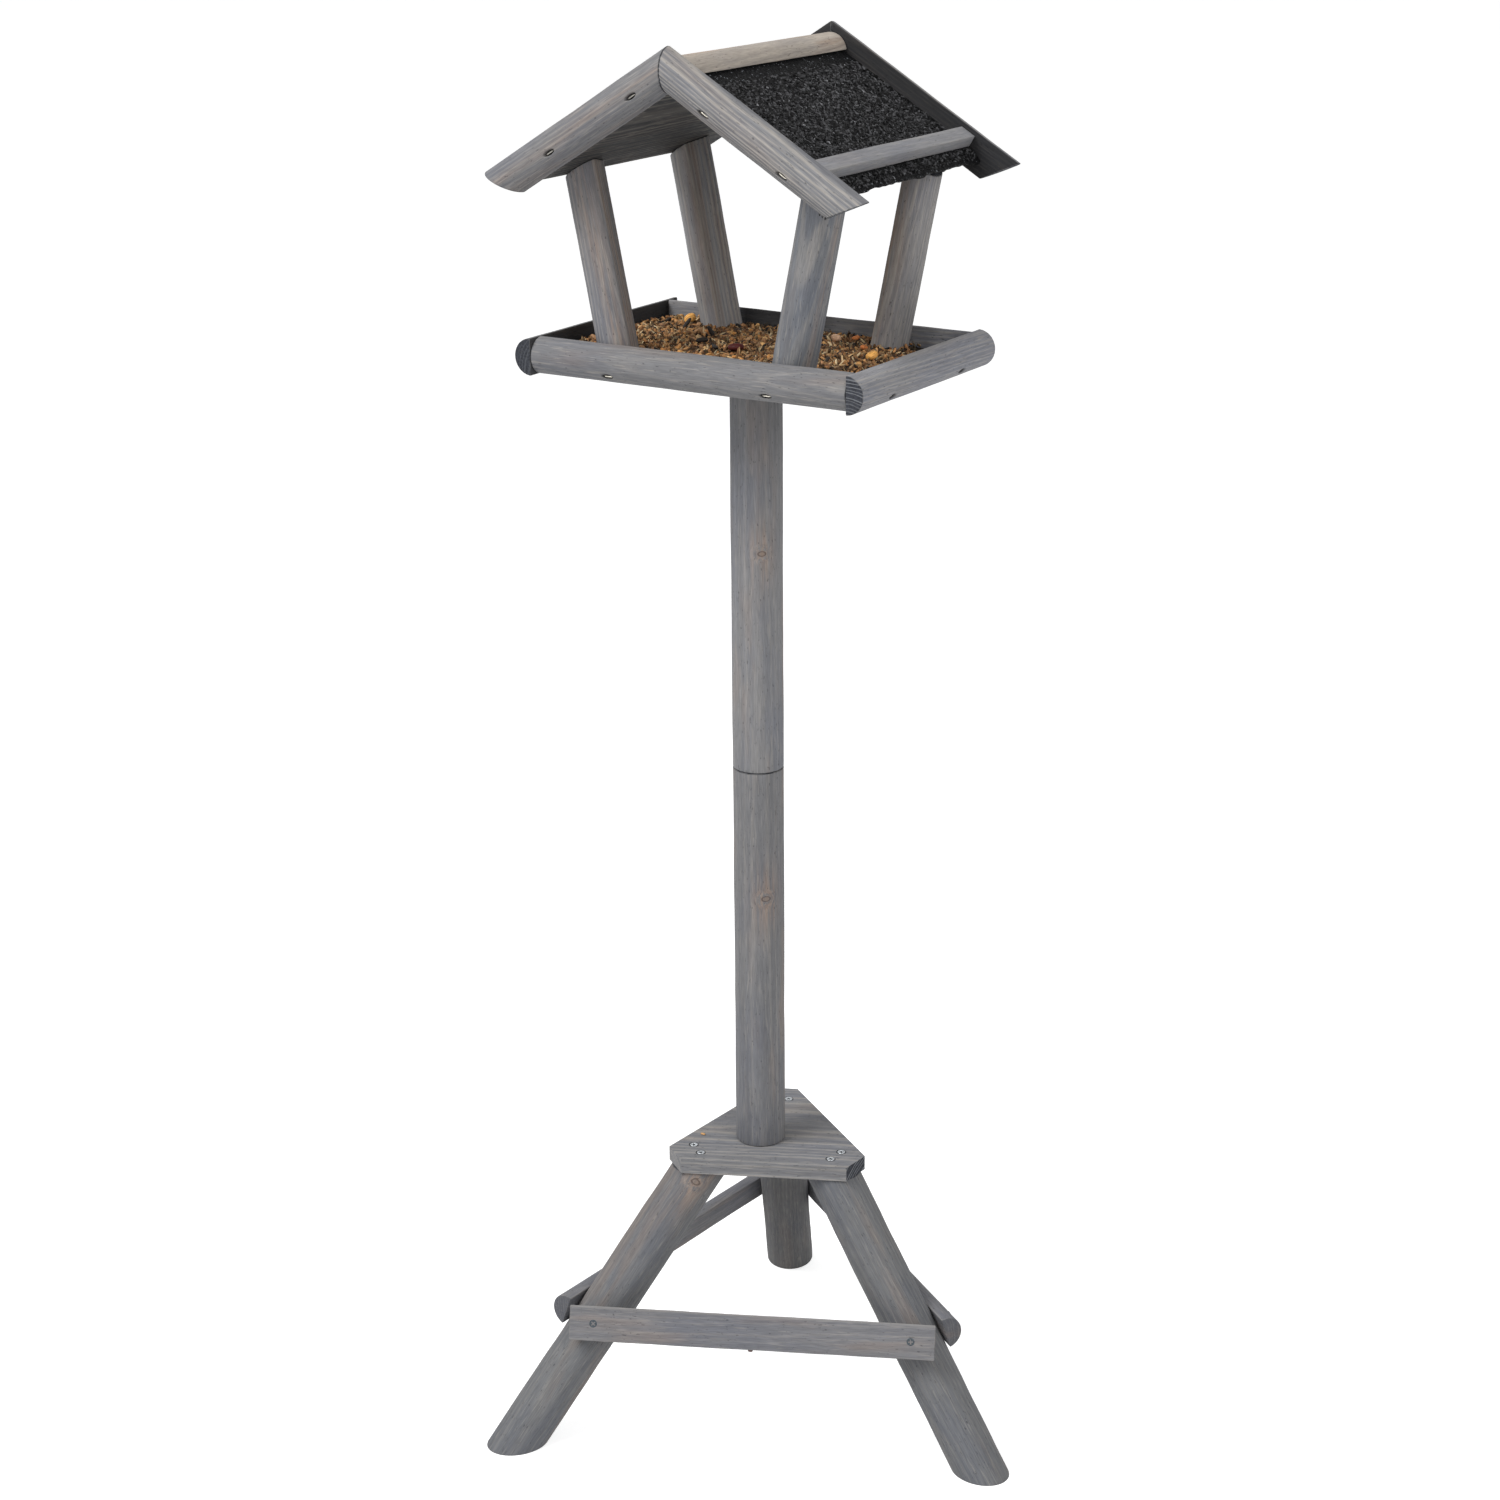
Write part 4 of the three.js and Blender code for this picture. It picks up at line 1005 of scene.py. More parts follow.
# %% Gable boards
gable_staples = {"left": ((22, 105), 10.5), "right": ((36, 109), 8.6)}
gable_warm = {"left": [((0, 14), (1, 14), 3.5, 0.5)], "right": ()}
for end_name, end, side_name, side in table_corners:
    corner = f"{end_name}_{side_name}"
    out = y_axis * end
    across = off_slope(side)
    forwards = 1 if np.cross(across, out) @ down_slope(side) > 0 else -1
    origin = on_slope(side, 0, slat_width / 2, end * (roof_length / 2 + seat_gap))
    mitre = (x_axis * side * seat_gap / 2, x_axis)
    low_end = on_slope(side, gable_board_reach, 0, 0)
    tip = on_slope(side, gable_board_reach + slat_width / math.tan(gable_end_cut), slat_width, 0)
    slant = (low_end, np.cross(tip - low_end, y_axis))
    low_cut, high_cut = (mitre, slant) if forwards > 0 else (slant, mitre)
    places, lift = gable_staples[side_name]
    height = lift - slat_width / 2
    # The flat side, under the roof, is darkened all along by painted shade
    piece = bar(f"gable_{corner}_slat", slat_with_staples(height), origin, across, out, low_cut, high_cut,
                seed=700 + 17 * end + 3 * side, pith=(48 + 14 * side, 12 + 6 * end), tilt=(0.012, 0.004),
                bow=0.3, slits=([forwards * place for place in places], height), shaded_flat=((0, 1),),
                warm=gable_warm[side_name])
    wood = lined_wood if corner == "front_right" else slat_wood
    finish_piece(piece, wood, "grey_wood", "gable_board_" + corner)
print("gable boards:", len(table_corners))

# %% Ridge batten
corner_height = on_slope(1, board_start, roof_board_thickness, 0)[2]
ridge_at = np.array([0, 0, corner_height + felt_thickness + 2 * seat_gap])
ridge_half = (roof_length - seat_gap) / 2
ridge_piece = bar("ridge_slat", half_round(slat_width, ridge_batten_height), ridge_at, x_axis, z_up,
                  *square_cuts(ridge_at, np.cross(x_axis, z_up), ridge_half),
                  seed=801, pith=(12, 60), tilt=(0.05, 0.03), bow=0.3)
finish_piece(ridge_piece, ridge_wood, "warm_wood", "ridge_batten")
print("ridge batten lies", round(ridge_at[2], 1), "mm up")

# %% [markdown]
# ## Roofing felt
# Felt is a thin bitumen sheet with crushed slate pressed into it. One sheet lies over both boards and
# is torn off along the eaves, so its lower edges wander. The sheet is a closed slab, its section
# carried along the ridge, and its overhang droops more at some places than at others. The finest slate
# is a cellular pattern in the material: each cell is a grain with its own grey; a few pale ones are pale
# grains and painted glints.

# %% Node group: crushed slate
slate, given, result = new_group("crushed_slate", [("Place", VECTOR, None), ("Grain Size", FLOAT, 0.0011)],
                                 [("Colour", COLOUR), ("Roughness", FLOAT), ("Height", FLOAT)])
tree = slate
scaled = vector_maths(tree, "SCALE", given["Place"])
tree.links.new(maths(tree, "DIVIDE", 1.0, given["Grain Size"]), scaled.node.inputs["Scale"])
cells = add(tree, "ShaderNodeTexVoronoi", scaled, None, 1.0, feature="F1")
edges = add(tree, "ShaderNodeTexVoronoi", scaled, None, 1.0, feature="DISTANCE_TO_EDGE")
shade = add(tree, "ShaderNodeSeparateColor", cells.outputs["Color"]).outputs
patches = noise(tree, given["Place"], (60, 60, 60), 2.0)
dark = blend(tree, remap(tree, shade["Red"], 0.1, 0.9), paint(8, 8, 9), paint(20, 21, 23))
dark = blend(tree, remap(tree, patches, 0.35, 0.7, 0.0, 0.4), dark, paint(24, 25, 27))
# A few pale cells: pale grains and painted glints
pale_grain_glint = remap(tree, shade["Green"], 0.955, 0.985)
colour = blend(tree, maths(tree, "MULTIPLY", pale_grain_glint, 0.75), dark, paint(150, 154, 160))
gap = remap(tree, edges.outputs["Distance"], 0.0, 0.16, 1.0, 0.0)
colour = blend(tree, maths(tree, "MULTIPLY", gap, 0.75), colour, paint(12, 12, 13))
tree.links.new(colour, result["Colour"])
tree.links.new(remap(tree, shade["Blue"], 0.0, 1.0, 0.55, 0.95), result["Roughness"])
grain_height = maths(tree, "MULTIPLY_ADD", shade["Red"], 0.6, maths(tree, "SUBTRACT", 1.0, gap))
tree.links.new(grain_height, result["Height"])

# %% Felt material
slate_specular = 0.12
granular_felt, tree, shader = new_material("granular_felt", Specular_IOR_Level=slate_specular)
grit = add(tree, "ShaderNodeGroup", node_tree=slate)
tree.links.new(add(tree, "ShaderNodeTexCoord").outputs["Object"], grit.inputs["Place"])
feed(tree, shader, grit.outputs["Colour"], grit.outputs["Roughness"], grit.outputs["Height"],
     depth=0.7 * mm)
print("slate group:", len(slate.nodes), "nodes")

# %% Felt sheet
felt_eave = roof_board_eave + felt_overhang
felt_tear = {-1: waviness(911, 9, 90.0), 1: waviness(923, 9, 90.0)}
felt_ripple = waviness(931, 4, 140.0)
tear_depth, droop, droop_change = 1.8, 2.6, 0.8
felt_rows, felt_steps = 150, 105


def on_felt(side, s, offset, y):
    """A place on the felt: straight down the slope, and drooping as the square of the overhang."""
    beyond = np.clip((s - roof_board_eave + 2) / felt_overhang, 0, 1.3)
    n = offset - beyond ** 2 * (droop + droop_change * felt_ripple(y))
    return np.moveaxis(on_slope(side, s, n, y), 0, -1)


def felt_sheet():
    """A strip folded over the ridge, its section carried along y.

    Down each slope the section is straight. Across the ridge it is level. Each lower edge ends at
    the eave length plus a wandering line of y, and the last stretch droops as the square of its reach.
    """
    rows = np.linspace(-ridge_half, ridge_half, felt_rows)
    under = corner_height + seat_gap
    t = np.linspace(0, 1, felt_steps)
    sheets = []
    for offset, level in ((felt_upper, under + felt_thickness), (felt_under, under)):
        bend = (ridge + offset / math.cos(roof_pitch) - level) / math.tan(roof_pitch)
        s_bend = (bend - offset * math.sin(roof_pitch)) / math.cos(roof_pitch)
        slopes = []
        for side in (-1, 1):
            edge = felt_eave - 1.0 + tear_depth * felt_tear[side](rows)
            s = s_bend + t[None] * (edge[:, None] - s_bend)
            slopes.append(on_felt(side, s, offset, np.repeat(rows[:, None], len(t), 1)))
        level_x = np.linspace(-bend, bend, 6)[1:-1]
        flat = np.stack(np.broadcast_arrays(level_x[None], rows[:, None], np.array([[level]])), -1)
        sheets.append(np.concatenate([slopes[0][:, ::-1], flat, slopes[1]], 1))
    sheets[0][..., 2] += np.random.default_rng(940).uniform(-0.12, 0.16, sheets[0].shape[:2])
    vertices = np.vstack([sheet.reshape(-1, 3) for sheet in sheets])
    return make_mesh("felt_cover", to_frame(vertices), slab_faces(*sheets[0].shape[:2]), {})


felt_piece = finish_piece(felt_sheet(), granular_felt, "roofing_felt", "roof_felt")
print("felt faces:", len(felt_piece.data.polygons))

# %% [markdown]
# The coarsest slate is more than a pattern: flat chips a few millimetres long stand out of the bitumen
# at every angle and throw small shadows. Each is an octahedron, stretched, turned and half sunk, and
# they are left out where the battens lie.

# %% Slate chips
slate_chip, tree, shader = new_material("slate_chip", Roughness=0.5, Specular_IOR_Level=slate_specular)
feed(tree, shader, remembered(tree, "tint", "Color"))

chips_tried, chip_half = 9500, np.array([2.1, 0.9, 0.9])
chips_from, chips_span = 18.0, felt_eave - 21.6
chip_corners = np.array([[1, 0, 0], [0, 1, 0], [-1, 0, 0], [0, -1, 0], [0, 0, 1], [0, 0, -1.0]])
chip_sides = np.array([[0, 1, 4], [1, 2, 4], [2, 3, 4], [3, 0, 4],
                       [1, 0, 5], [2, 1, 5], [3, 2, 5], [0, 3, 5]])


def turned(points, yaw, tilt, roll):
    """Points (shape, point, xyz) turned by a roll about x, a tilt about y and a yaw about z."""
    x, y, z = np.moveaxis(points, -1, 0)
    cr, ct, cy = (np.cos(angle)[:, None] for angle in (roll, tilt, yaw))
    sr, st, sy = (np.sin(angle)[:, None] for angle in (roll, tilt, yaw))
    y, z = y * cr - z * sr, y * sr + z * cr
    x, z = x * ct - z * st, x * st + z * ct
    x, y = x * cy - y * sy, x * sy + y * cy
    return np.stack([x, y, z], -1)


def slate_chips(name, side, seed):
    """Many octahedra, each with its own size and turn, laid in the slope's own directions."""
    chance = np.random.default_rng(seed)
    y = chance.uniform(-roof_length / 2 + 1.6, roof_length / 2 - 1.6, chips_tried)
    s = chips_from + chance.uniform(0, 1, chips_tried) * (chips_span + tear_depth * felt_tear[side](y))
    under_batten = (s > roof_board_eave - eave_batten_width - 1.4) & (s < roof_board_eave + 1.2)
    s, y = s[~under_batten], y[~under_batten]
    n = len(s)
    size = chip_half * np.exp(chance.normal(0, 0.28, (n, 3)).clip(-0.7, 0.5))
    local = turned(chip_corners[None] * size[:, None], chance.uniform(0, 2 * np.pi, n),
                   chance.normal(0, 0.35, n), chance.normal(0, 0.5, n))
    axes = np.array([down_slope(side), y_axis * side, off_slope(side)])
    place = on_felt(side, s, felt_upper + 0.1, y)[:, None] + local @ axes
    faces = (chip_sides[None] + len(chip_corners) * np.arange(n)[:, None, None]).reshape(-1, 3)
    # The chips' greys vary, and the split into dark and pale chips also paints the light and shade of
    # facets turned to and from the light; the palest few are painted glints
    pick, dark, pale = chance.uniform(0, 1, n), chance.uniform(16, 32, n), chance.uniform(48, 84, n)
    shade = np.where(pick < 0.6, dark, np.where(pick < 0.992, pale, 124.0))
    linear = (shade / 255) ** 2.2
    tint = np.stack([linear, linear, linear * 1.06, np.ones(n)], -1)
    return make_mesh(name, to_frame(place.reshape(-1, 3)), [faces],
                     {"tint": np.repeat(tint, len(chip_corners), 0)}, smooth=False)


for side_name, side in table_sides:
    chips = slate_chips("felt_chips_" + side_name, side, 950 + side)
    finish_piece(chips, slate_chip, "roofing_felt")
    print(chips.name, len(chips.data.polygons) // len(chip_sides))

# %% [markdown]
# ## Screws
# The screws are zinc-plated, with a cross recess. A screw is turned on a lathe, so it is a profile
# carried round an axis, and the recess is a second shape that pushes the head's top down where two
# crossed bars lie. Each head stands a quarter of a millimetre proud, as screws in softwood do.

# %% Screw surface
head_depth, head_proud, screw_point = 3.0, 0.25, 6.0
recess_depth, recess_half_width, recess_reach = 1.5, 0.6, 2.1
face_rings = 26


def turned_screw(name, head, outward, beside, length, spin):
    """A profile (radius, depth) carried round the screw's axis, closed at the point and the head.

    On the head's top, depth grows by the recess depth where the distance to either bar of the cross
    is under half its width, with a soft wall 0.25 mm wide.
    """
    sides = np.array([(3.1, -0.15), (3.2, 0.1), (3.2, 0.5), (2.0, head_depth), (2.0, length - screw_point),
                      (1.2, length - 2.5), (0.1, length - 0.3)])
    radii = np.append(np.linspace(0.12, 2.9, face_rings), sides[:, 0])
    depth = np.append(np.full(face_rings, -head_proud), sides[:, 1])
    radius, angle = np.meshgrid(radii, np.linspace(0, 2 * np.pi, 72, endpoint=False), indexing="ij")
    x, y = radius * np.cos(angle), radius * np.sin(angle)
    bars = []
    for lengthwise, crosswise in ((x, y), (y, x)):
        wall = np.clip((recess_half_width - np.abs(crosswise)) / 0.25, 0, 1)
        bars.append(np.minimum(wall, np.clip((recess_reach - np.abs(lengthwise)) / 0.3, 0, 1)))
    recess = np.maximum(*bars) * (np.arange(len(radii)) < face_rings)[:, None]
    deep = depth[:, None] + recess_depth * recess
    outward = unit_length(outward)
    first = unit_length(beside - (beside @ outward) * outward)
    second = np.cross(outward, first)
    a = first * math.cos(spin) + second * math.sin(spin)
    b = second * math.cos(spin) - first * math.sin(spin)
    place = head + x[..., None] * a + y[..., None] * b - deep[..., None] * outward
    poles = [head - (recess_depth - head_proud) * outward, head - length * outward]
    # The rings run into the wood, against their turning, so each face is turned over
    faces = [np.roll(group[:, ::-1], 1, 1) for group in tube_faces(*x.shape)]
    # hollow marks the recess, where the metal paints shade
    return make_mesh(name, to_frame(np.vstack([place.reshape(-1, 3), poles])), faces,
                     {"hollow": np.append(recess.ravel(), [1, 0])})


print("a screw's head stands", head_proud, "mm proud")

# %% Metal materials


def metal(name, colour, roughness, scratch):
    """A bright plated metal: fine noise in its roughness and colour, a trace of relief, and painted shade
    in a screw's recess.
    """
    material, tree, shader = new_material(name, Metallic=0.9)
    place = add(tree, "ShaderNodeTexCoord").outputs["Object"]
    cloudy = noise(tree, place, (900, 900, 900), 2.0)
    dull = blend(tree, remap(tree, cloudy, 0.35, 0.7), paint(*colour), paint(*[0.8 * c for c in colour]))
    # Painted shade in the screw's cross recess, where hollow is 1
    dull = blend(tree, remembered(tree, "hollow"), dull, paint(30, 31, 33))
    rough = remap(tree, cloudy, 0.3, 0.7, roughness - 0.06, roughness + 0.12)
    feed(tree, shader, dull, rough, cloudy, strength=0.6, depth=scratch)
    return material


zinc = metal("zinc_plate", (186, 190, 194), 0.3, 0.00005)
blue_zinc = metal("blue_zinc_plate", (84, 92, 98), 0.3, 0.00005)
staple_metal = metal("staple_wire", (236, 230, 216), 0.34, 0.00003)
dull_staple_metal = metal("dull_staple_wire", (176, 173, 166), 0.45, 0.00003)
hidden_screws = ("post_dowel_screw", "post_foot_screw", "post_top_screw")
for node in hidden_screws:
    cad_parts[node].data.materials[0] = zinc
print("hidden screws that keep their solid:", len(hidden_screws))

# %% [markdown]
# A staple is one bent wire: two legs and a crown, with a rounded corner between them. The crown bows a
# little, so its ends dip into the slit and only its middle shines.

# %% Staples
staple_wire, staple_crown, staple_leg, staple_corner = 1.2, 9.0, 20.0, 1.9
crown_bow, right_rail_deeper = 0.35, 1.3


def wire_staple(name, node, along, out, deeper):
    """A circle carried along a bent path: up one leg, round a corner, over the crown and down again.

    The middle of the solid's box gives its place, and the crown's top lies at the box's outer side.
    """
    low, high = (np.array(corner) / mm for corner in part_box(node))
    reach = staple_crown / 2 - staple_wire / 2
    bend = np.linspace(0, np.pi / 2, 8)
    corner_a = -reach + staple_corner * (1 - np.cos(bend))
    corner_h = -staple_corner * (1 - np.sin(bend))
    crown_a = np.linspace(-reach + staple_corner, reach - staple_corner, 9)[1:-1]
    a = np.concatenate([[-reach, -reach], corner_a, crown_a, -corner_a[::-1], [reach, reach]])
    h = np.concatenate([[-staple_leg, -staple_leg / 2], corner_h, crown_a * 0, corner_h[::-1],
                        [-staple_leg / 2, -staple_leg]]) - staple_wire / 2 - deeper
    h = h + crown_bow * (1 - (a / reach) ** 2) - crown_bow
    path = (low + high) / 2 + out * (np.abs((high - low) / 2) @ np.abs(out))
    path = path + a[:, None] * along + h[:, None] * out
    going = np.gradient(path, axis=0)
    going /= np.linalg.norm(going, axis=1)[:, None]
    beside = np.cross(along, out)
    normal = np.cross(beside, going)
    angle = np.linspace(0, 2 * np.pi, 12, endpoint=False)[:, None]
    ring = np.cos(angle) * normal[:, None] + np.sin(angle) * beside
    tube = path[:, None] + ring * staple_wire / 2
    vertices = np.vstack([tube.reshape(-1, 3), path[:1], path[-1:]])
    return make_mesh(name, vertices * mm, tube_faces(*tube.shape[:2]), {})


staple_sets = [(f"rail_staple_{name}_", np.cross(z_up, out), out) for name, out, *_ in rails]
staple_sets += [(f"gable_staple_{end_name}_{side_name}_", down_slope(side), y_axis * end)
                for end_name, end, side_name, side in table_corners]
for stem, along, out in staple_sets:
    deeper = right_rail_deeper if stem == "rail_staple_right_" else 0.0
    wire = dull_staple_metal if stem == "gable_staple_front_left_" else staple_metal
    for number in "12":
        piece = wire_staple(stem + number + "_wire", stem + number, along, out, deeper)
        finish_piece(piece, wire, "staple_steel", stem + number)
print("staples:", 2 * len(staple_sets))

# %% Visible screws
brace_screw_length, plate_screw_length = 35, 40
chance = np.random.default_rng(77)
for node, head, outward, beside in brace_screws:
    piece = turned_screw(node + "_zinc", head, outward, beside, brace_screw_length, chance.uniform(0, 3))
    finish_piece(piece, blue_zinc, "screw_steel", node)
for leg_name, leg in zip(leg_names, legs):
    beside = np.cross(z_up, leg["radial"])
    corner = plate_middle + leg["radial"] * plate_screw_spread
    for number, sign in ((1, -1), (2, 1)):
        head = corner + beside * sign * plate_screw_pitch / 2 + z_up * plate_top
        node = f"plate_screw_{leg_name}_{number}"
        piece = turned_screw(node + "_zinc", head, z_up, leg["radial"], plate_screw_length,
                             chance.uniform(0, 3))
        finish_piece(piece, zinc, "screw_steel", node)
print("visible screws:", len(brace_screws) + 2 * len(legs))

# %% [markdown]
# ## The seed
# Thousands of loose grains lie in a low heap. A mound carries them, its dark tint painted shade in the
# gaps between grains, and each grain on it is one of a few simple closed shapes with a few dozen faces:
# a pointed grain, a round grain, a flat kernel.
# Every grain gets its own place, turn, size and tint, worked out for all of them at once.

# %% Heap
seed_half_x, seed_half_y = floor_width / 2 - 1.2, floor_depth / 2 - 1.2
seed_edge, seed_crown, seed_lump, seed_wave = 2.0, 7.2, 0.5, 8.0
hill_x, hill_y, hill_half_x, hill_half_y = -34, -2, 95, 62
bare_corner, bare_fade = 34, 60
mound_share = 0.66


def heap_height(x, y):
    """Depth of the seed in mm: a hill left of the middle with small lumps, gone at one corner.

    hill = exp(-((x - hill_x) / hill_half_x)^2 - ((y - hill_y) / hill_half_y)^2), and the cover grows
    from 0 to 1 over the fade, beginning at a distance from the bare corner.
    """
    hill = np.exp(-((x - hill_x) / hill_half_x) ** 2 - ((y - hill_y) / hill_half_y) ** 2)
    hill = (seed_crown - seed_edge) * hill
    lumps = seed_lump * np.sin(x / seed_wave + np.sin(y / seed_wave)) * np.cos(y / seed_wave)
    from_corner = np.hypot(floor_width / 2 - x, floor_depth / 2 - y)
    return (seed_edge + hill + lumps) * np.clip((from_corner - bare_corner) / bare_fade, 0, 1)


def mound():
    """The heap's top on a grid, and a flat underside, joined round the edge, in a dark tint of painted
    shade.
    """
    x, y = np.meshgrid(np.linspace(-seed_half_x, seed_half_x, 90),
                       np.linspace(-seed_half_y, seed_half_y, 60))
    top = np.stack([x, y, floor_top + 0.2 + mound_share * heap_height(x, y)], -1)
    low = np.stack([x, y, np.full_like(x, floor_top + 0.05)], -1)
    vertices = to_frame(np.vstack([top.reshape(-1, 3), low.reshape(-1, 3)]))
    # Painted shade: the mound's dark tint stands for the shade in the gaps between grains
    gap_shade = np.tile([0.02, 0.014, 0.009, 1.0], (len(vertices), 1))
    return make_mesh("seed_shade_mound", vertices, slab_faces(*x.shape),
                     {"tint": gap_shade, "kernel": vertices / mm / 3})


def grain_shape(around, rings, pointed):
    """A unit closed grain: circles of radius sin(t) ** pointed between two poles at x = -1 and 1."""
    t = np.linspace(0, np.pi, rings + 2)[1:-1]
    angle = np.linspace(0, 2 * np.pi, around, endpoint=False)
    radius = np.sin(t) ** pointed
    ring = np.stack([np.broadcast_to(-np.cos(t)[:, None], (rings, around)),
                     radius[:, None] * np.cos(angle), radius[:, None] * np.sin(angle)], -1)
    vertices = np.vstack([ring.reshape(-1, 3), [[-1, 0, 0], [1, 0, 0]]])
    quads, fans = tube_faces(rings, around)
    return vertices, [np.roll(quads, -1, 1), fans]


def repeated(groups, points, count):
    """The faces of a shape with so many points, for as many copies of it as are wanted."""
    offset = (np.arange(count) * points)[:, None, None]
    return [(faces[None] + offset).reshape(-1, faces.shape[1]) for faces in groups]


print("deepest seed:", round(float(heap_height(hill_x, hill_y)), 1), "mm")

# %% Grains
# name, share, half sizes (mm), spread of size, shape, colours as seen
grain_kinds = [
    ("wheat", 0.46, (2.8, 1.25, 1.1), 0.18, (6, 3, 1.0), [(200, 152, 102), (172, 124, 80), (124, 90, 62)]),
    ("millet", 0.06, (1.1, 1.0, 0.95), 0.15, (6, 3, 1.0), [(166, 116, 70), (136, 86, 50), (180, 146, 102)]),
    ("oat", 0.32, (3.4, 1.0, 0.7), 0.2, (5, 3, 1.3), [(230, 208, 168), (202, 168, 122), (136, 104, 72)]),
    ("husk", 0.09, (2.6, 1.1, 0.4), 0.25, (6, 3, 1.0), [(90, 64, 44), (58, 43, 32), (128, 96, 66)]),
    ("sunflower", 0.02, (3.6, 1.7, 1.2), 0.16, (8, 4, 1.2), [(38, 36, 35), (52, 46, 42), (62, 53, 46)]),
    ("maize", 0.025, (2.6, 2.1, 1.5), 0.22, (8, 4, 0.8), [(204, 146, 84), (182, 126, 78), (212, 172, 118)]),
    ("nut", 0.025, (2.6, 2.1, 1.7), 0.22, (8, 4, 0.8), [(198, 168, 128), (174, 130, 94), (188, 146, 108)]),
]


def clear_of_pillars(x, y, room):
    """Whether points lie outside all four pillars, whose sections are circles cut off by a flat."""
    clear = np.ones(x.shape, bool)
    flat = pillar_depth - pillar_diameter / 2
    for end_name, end, side_name, side in table_corners:
        dx, dy = x - side * pillar_foot_spread, y - end * pillar_foot_y
        inward = -side * math.cos(pillar_turn) * dx - end * math.sin(pillar_turn) * dy
        clear &= ~((np.hypot(dx, dy) < pillar_diameter / 2 + room) & (inward < flat + room))
    return clear


def scatter(count, seed):
    """Points spread evenly over the tray: a jittered grid, thinned where the heap runs out."""
    chance = np.random.default_rng(seed)
    ratio = seed_half_x / seed_half_y
    rows = int(math.sqrt(count / ratio))
    columns = int(rows * ratio)
    gx, gy = np.meshgrid((np.arange(columns) + 0.5) / columns, (np.arange(rows) + 0.5) / rows)
    cell = 1.0 / rows
    x = (gx.ravel() + chance.uniform(-0.6, 0.6, gx.size) * cell / ratio) * 2 - 1
    y = (gy.ravel() + chance.uniform(-0.6, 0.6, gy.size) * cell) * 2 - 1
    x, y = x * (seed_half_x - 2.2), y * (seed_half_y - 2.2)
    thin = np.clip((heap_height(x, y) - 0.15) / 1.2, 0.02, 1)
    keep = chance.uniform(0, 1, x.size) < thin
    keep &= clear_of_pillars(x, y, 1.8)
    return x[keep], y[keep], chance


def grain_piece(name, kind, x, y, chance, lift, yaw=None, level=(0, 1)):
    """One mesh of many grains: every unit grain is scaled, turned and moved by its own numbers.

    Its height above the heap is the lift times a level drawn between two limits. Deep grains get painted
    shade and high ones painted light: the tint is the colour times 0.06 + 1.2 * level^2.
    """
    half, spread, shape, colours = kind[2:]
    unit, faces = grain_shape(*shape)
    n = len(x)
    size = np.asarray(half) * (1 + spread * chance.normal(0, 1, (n, 3)).clip(-2, 2))
    if yaw is None:
        yaw = chance.uniform(0, 2 * np.pi, n)
    tilt = chance.normal(0, 0.5, n).clip(-1.2, 1.2)
    roll = chance.normal(0, 0.5, n)
    body = unit[None] * size[:, None]
    body[..., 2] += 0.12 * size[:, None, 0] * (unit[None, :, 0] ** 2) * chance.uniform(-1, 1, (n, 1))
    body = turned(body, yaw, tilt, roll)
    low = body[..., 2].min(1)
    rise = chance.uniform(*level, n)
    ground = floor_top + 0.1 + mound_share * heap_height(x, y) + lift * rise
    px = np.clip(body[..., 0] + x[:, None], -seed_half_x - 0.8, seed_half_x + 0.8)
    py = np.clip(body[..., 1] + y[:, None], -seed_half_y - 0.8, seed_half_y + 0.8)
    pz = np.maximum(body[..., 2] - low[:, None] * 0.7 + ground[:, None], floor_top + 0.15)
    colours = np.asarray([paint(*c) for c in colours])
    mix = chance.uniform(0, 1, (n, 1))
    picked = colours[chance.integers(0, len(colours), n)]
    other = colours[chance.integers(0, len(colours), n)]
    # Painted shade on deep grains and painted light on high ones
    tint = (picked * mix + other * (1 - mix)) * (0.06 + 1.2 * rise[:, None] ** 2)
    tint[:, 3] = 1
    kernel = np.tile(unit, (n, 1)) + np.repeat(chance.uniform(0, 50, (n, 1)), len(unit), 0) * [1, 0, 0]
    place = to_frame(np.stack([px, py, pz], -1).reshape(-1, 3))
    return make_mesh(name, place, repeated(faces, len(unit), n),
                     {"tint": np.repeat(tint, len(unit), 0), "kernel": kernel})


print("grains tried by an even scatter of 1000:", len(scatter(1000, 1)[0]))

# %% Grain material
husk, tree, shader = new_material("seed_husk", Specular_IOR_Level=0.2)
kernel = remembered(tree, "kernel", "Vector")
stripe = noise(tree, kernel, (0.7, 4.5, 4.5), 2.0)
mottle = noise(tree, kernel, (2.5, 2.5, 2.5), 2.0)
stripes = blend(tree, remap(tree, stripe, 0.35, 0.65), (0.68, 0.66, 0.64, 1), (1.22, 1.2, 1.16, 1))
toned = blend(tree, 1.0, remembered(tree, "tint", "Color"), stripes, "MULTIPLY")
feed(tree, shader, toned, remap(tree, mottle, 0.3, 0.7, 0.5, 0.75), stripe, strength=0.7, depth=0.18 * mm)

# %% Loose grains
grains_tried, grain_lift = 10000, 1.9
finish_piece(mound(), husk, "seed", "seed_heap")
x, y, chance = scatter(grains_tried, 1201)
pick = chance.uniform(0, 1, len(x))
limits = np.cumsum([0] + [kind[1] for kind in grain_kinds])
for kind, low, high in zip(grain_kinds, limits[:-1], limits[1:]):
    mask = (pick >= low) & (pick < high)
    finish_piece(grain_piece("seed_" + kind[0], kind, x[mask], y[mask], chance, grain_lift), husk, "seed")
    print(kind[0], int(mask.sum()))

# %% [markdown]
# The largest kernels lie on top of the rest. They are spread by an even scatter: the fractional parts
# of two multiples that never fall into step, with the golden angle as each one's turn.

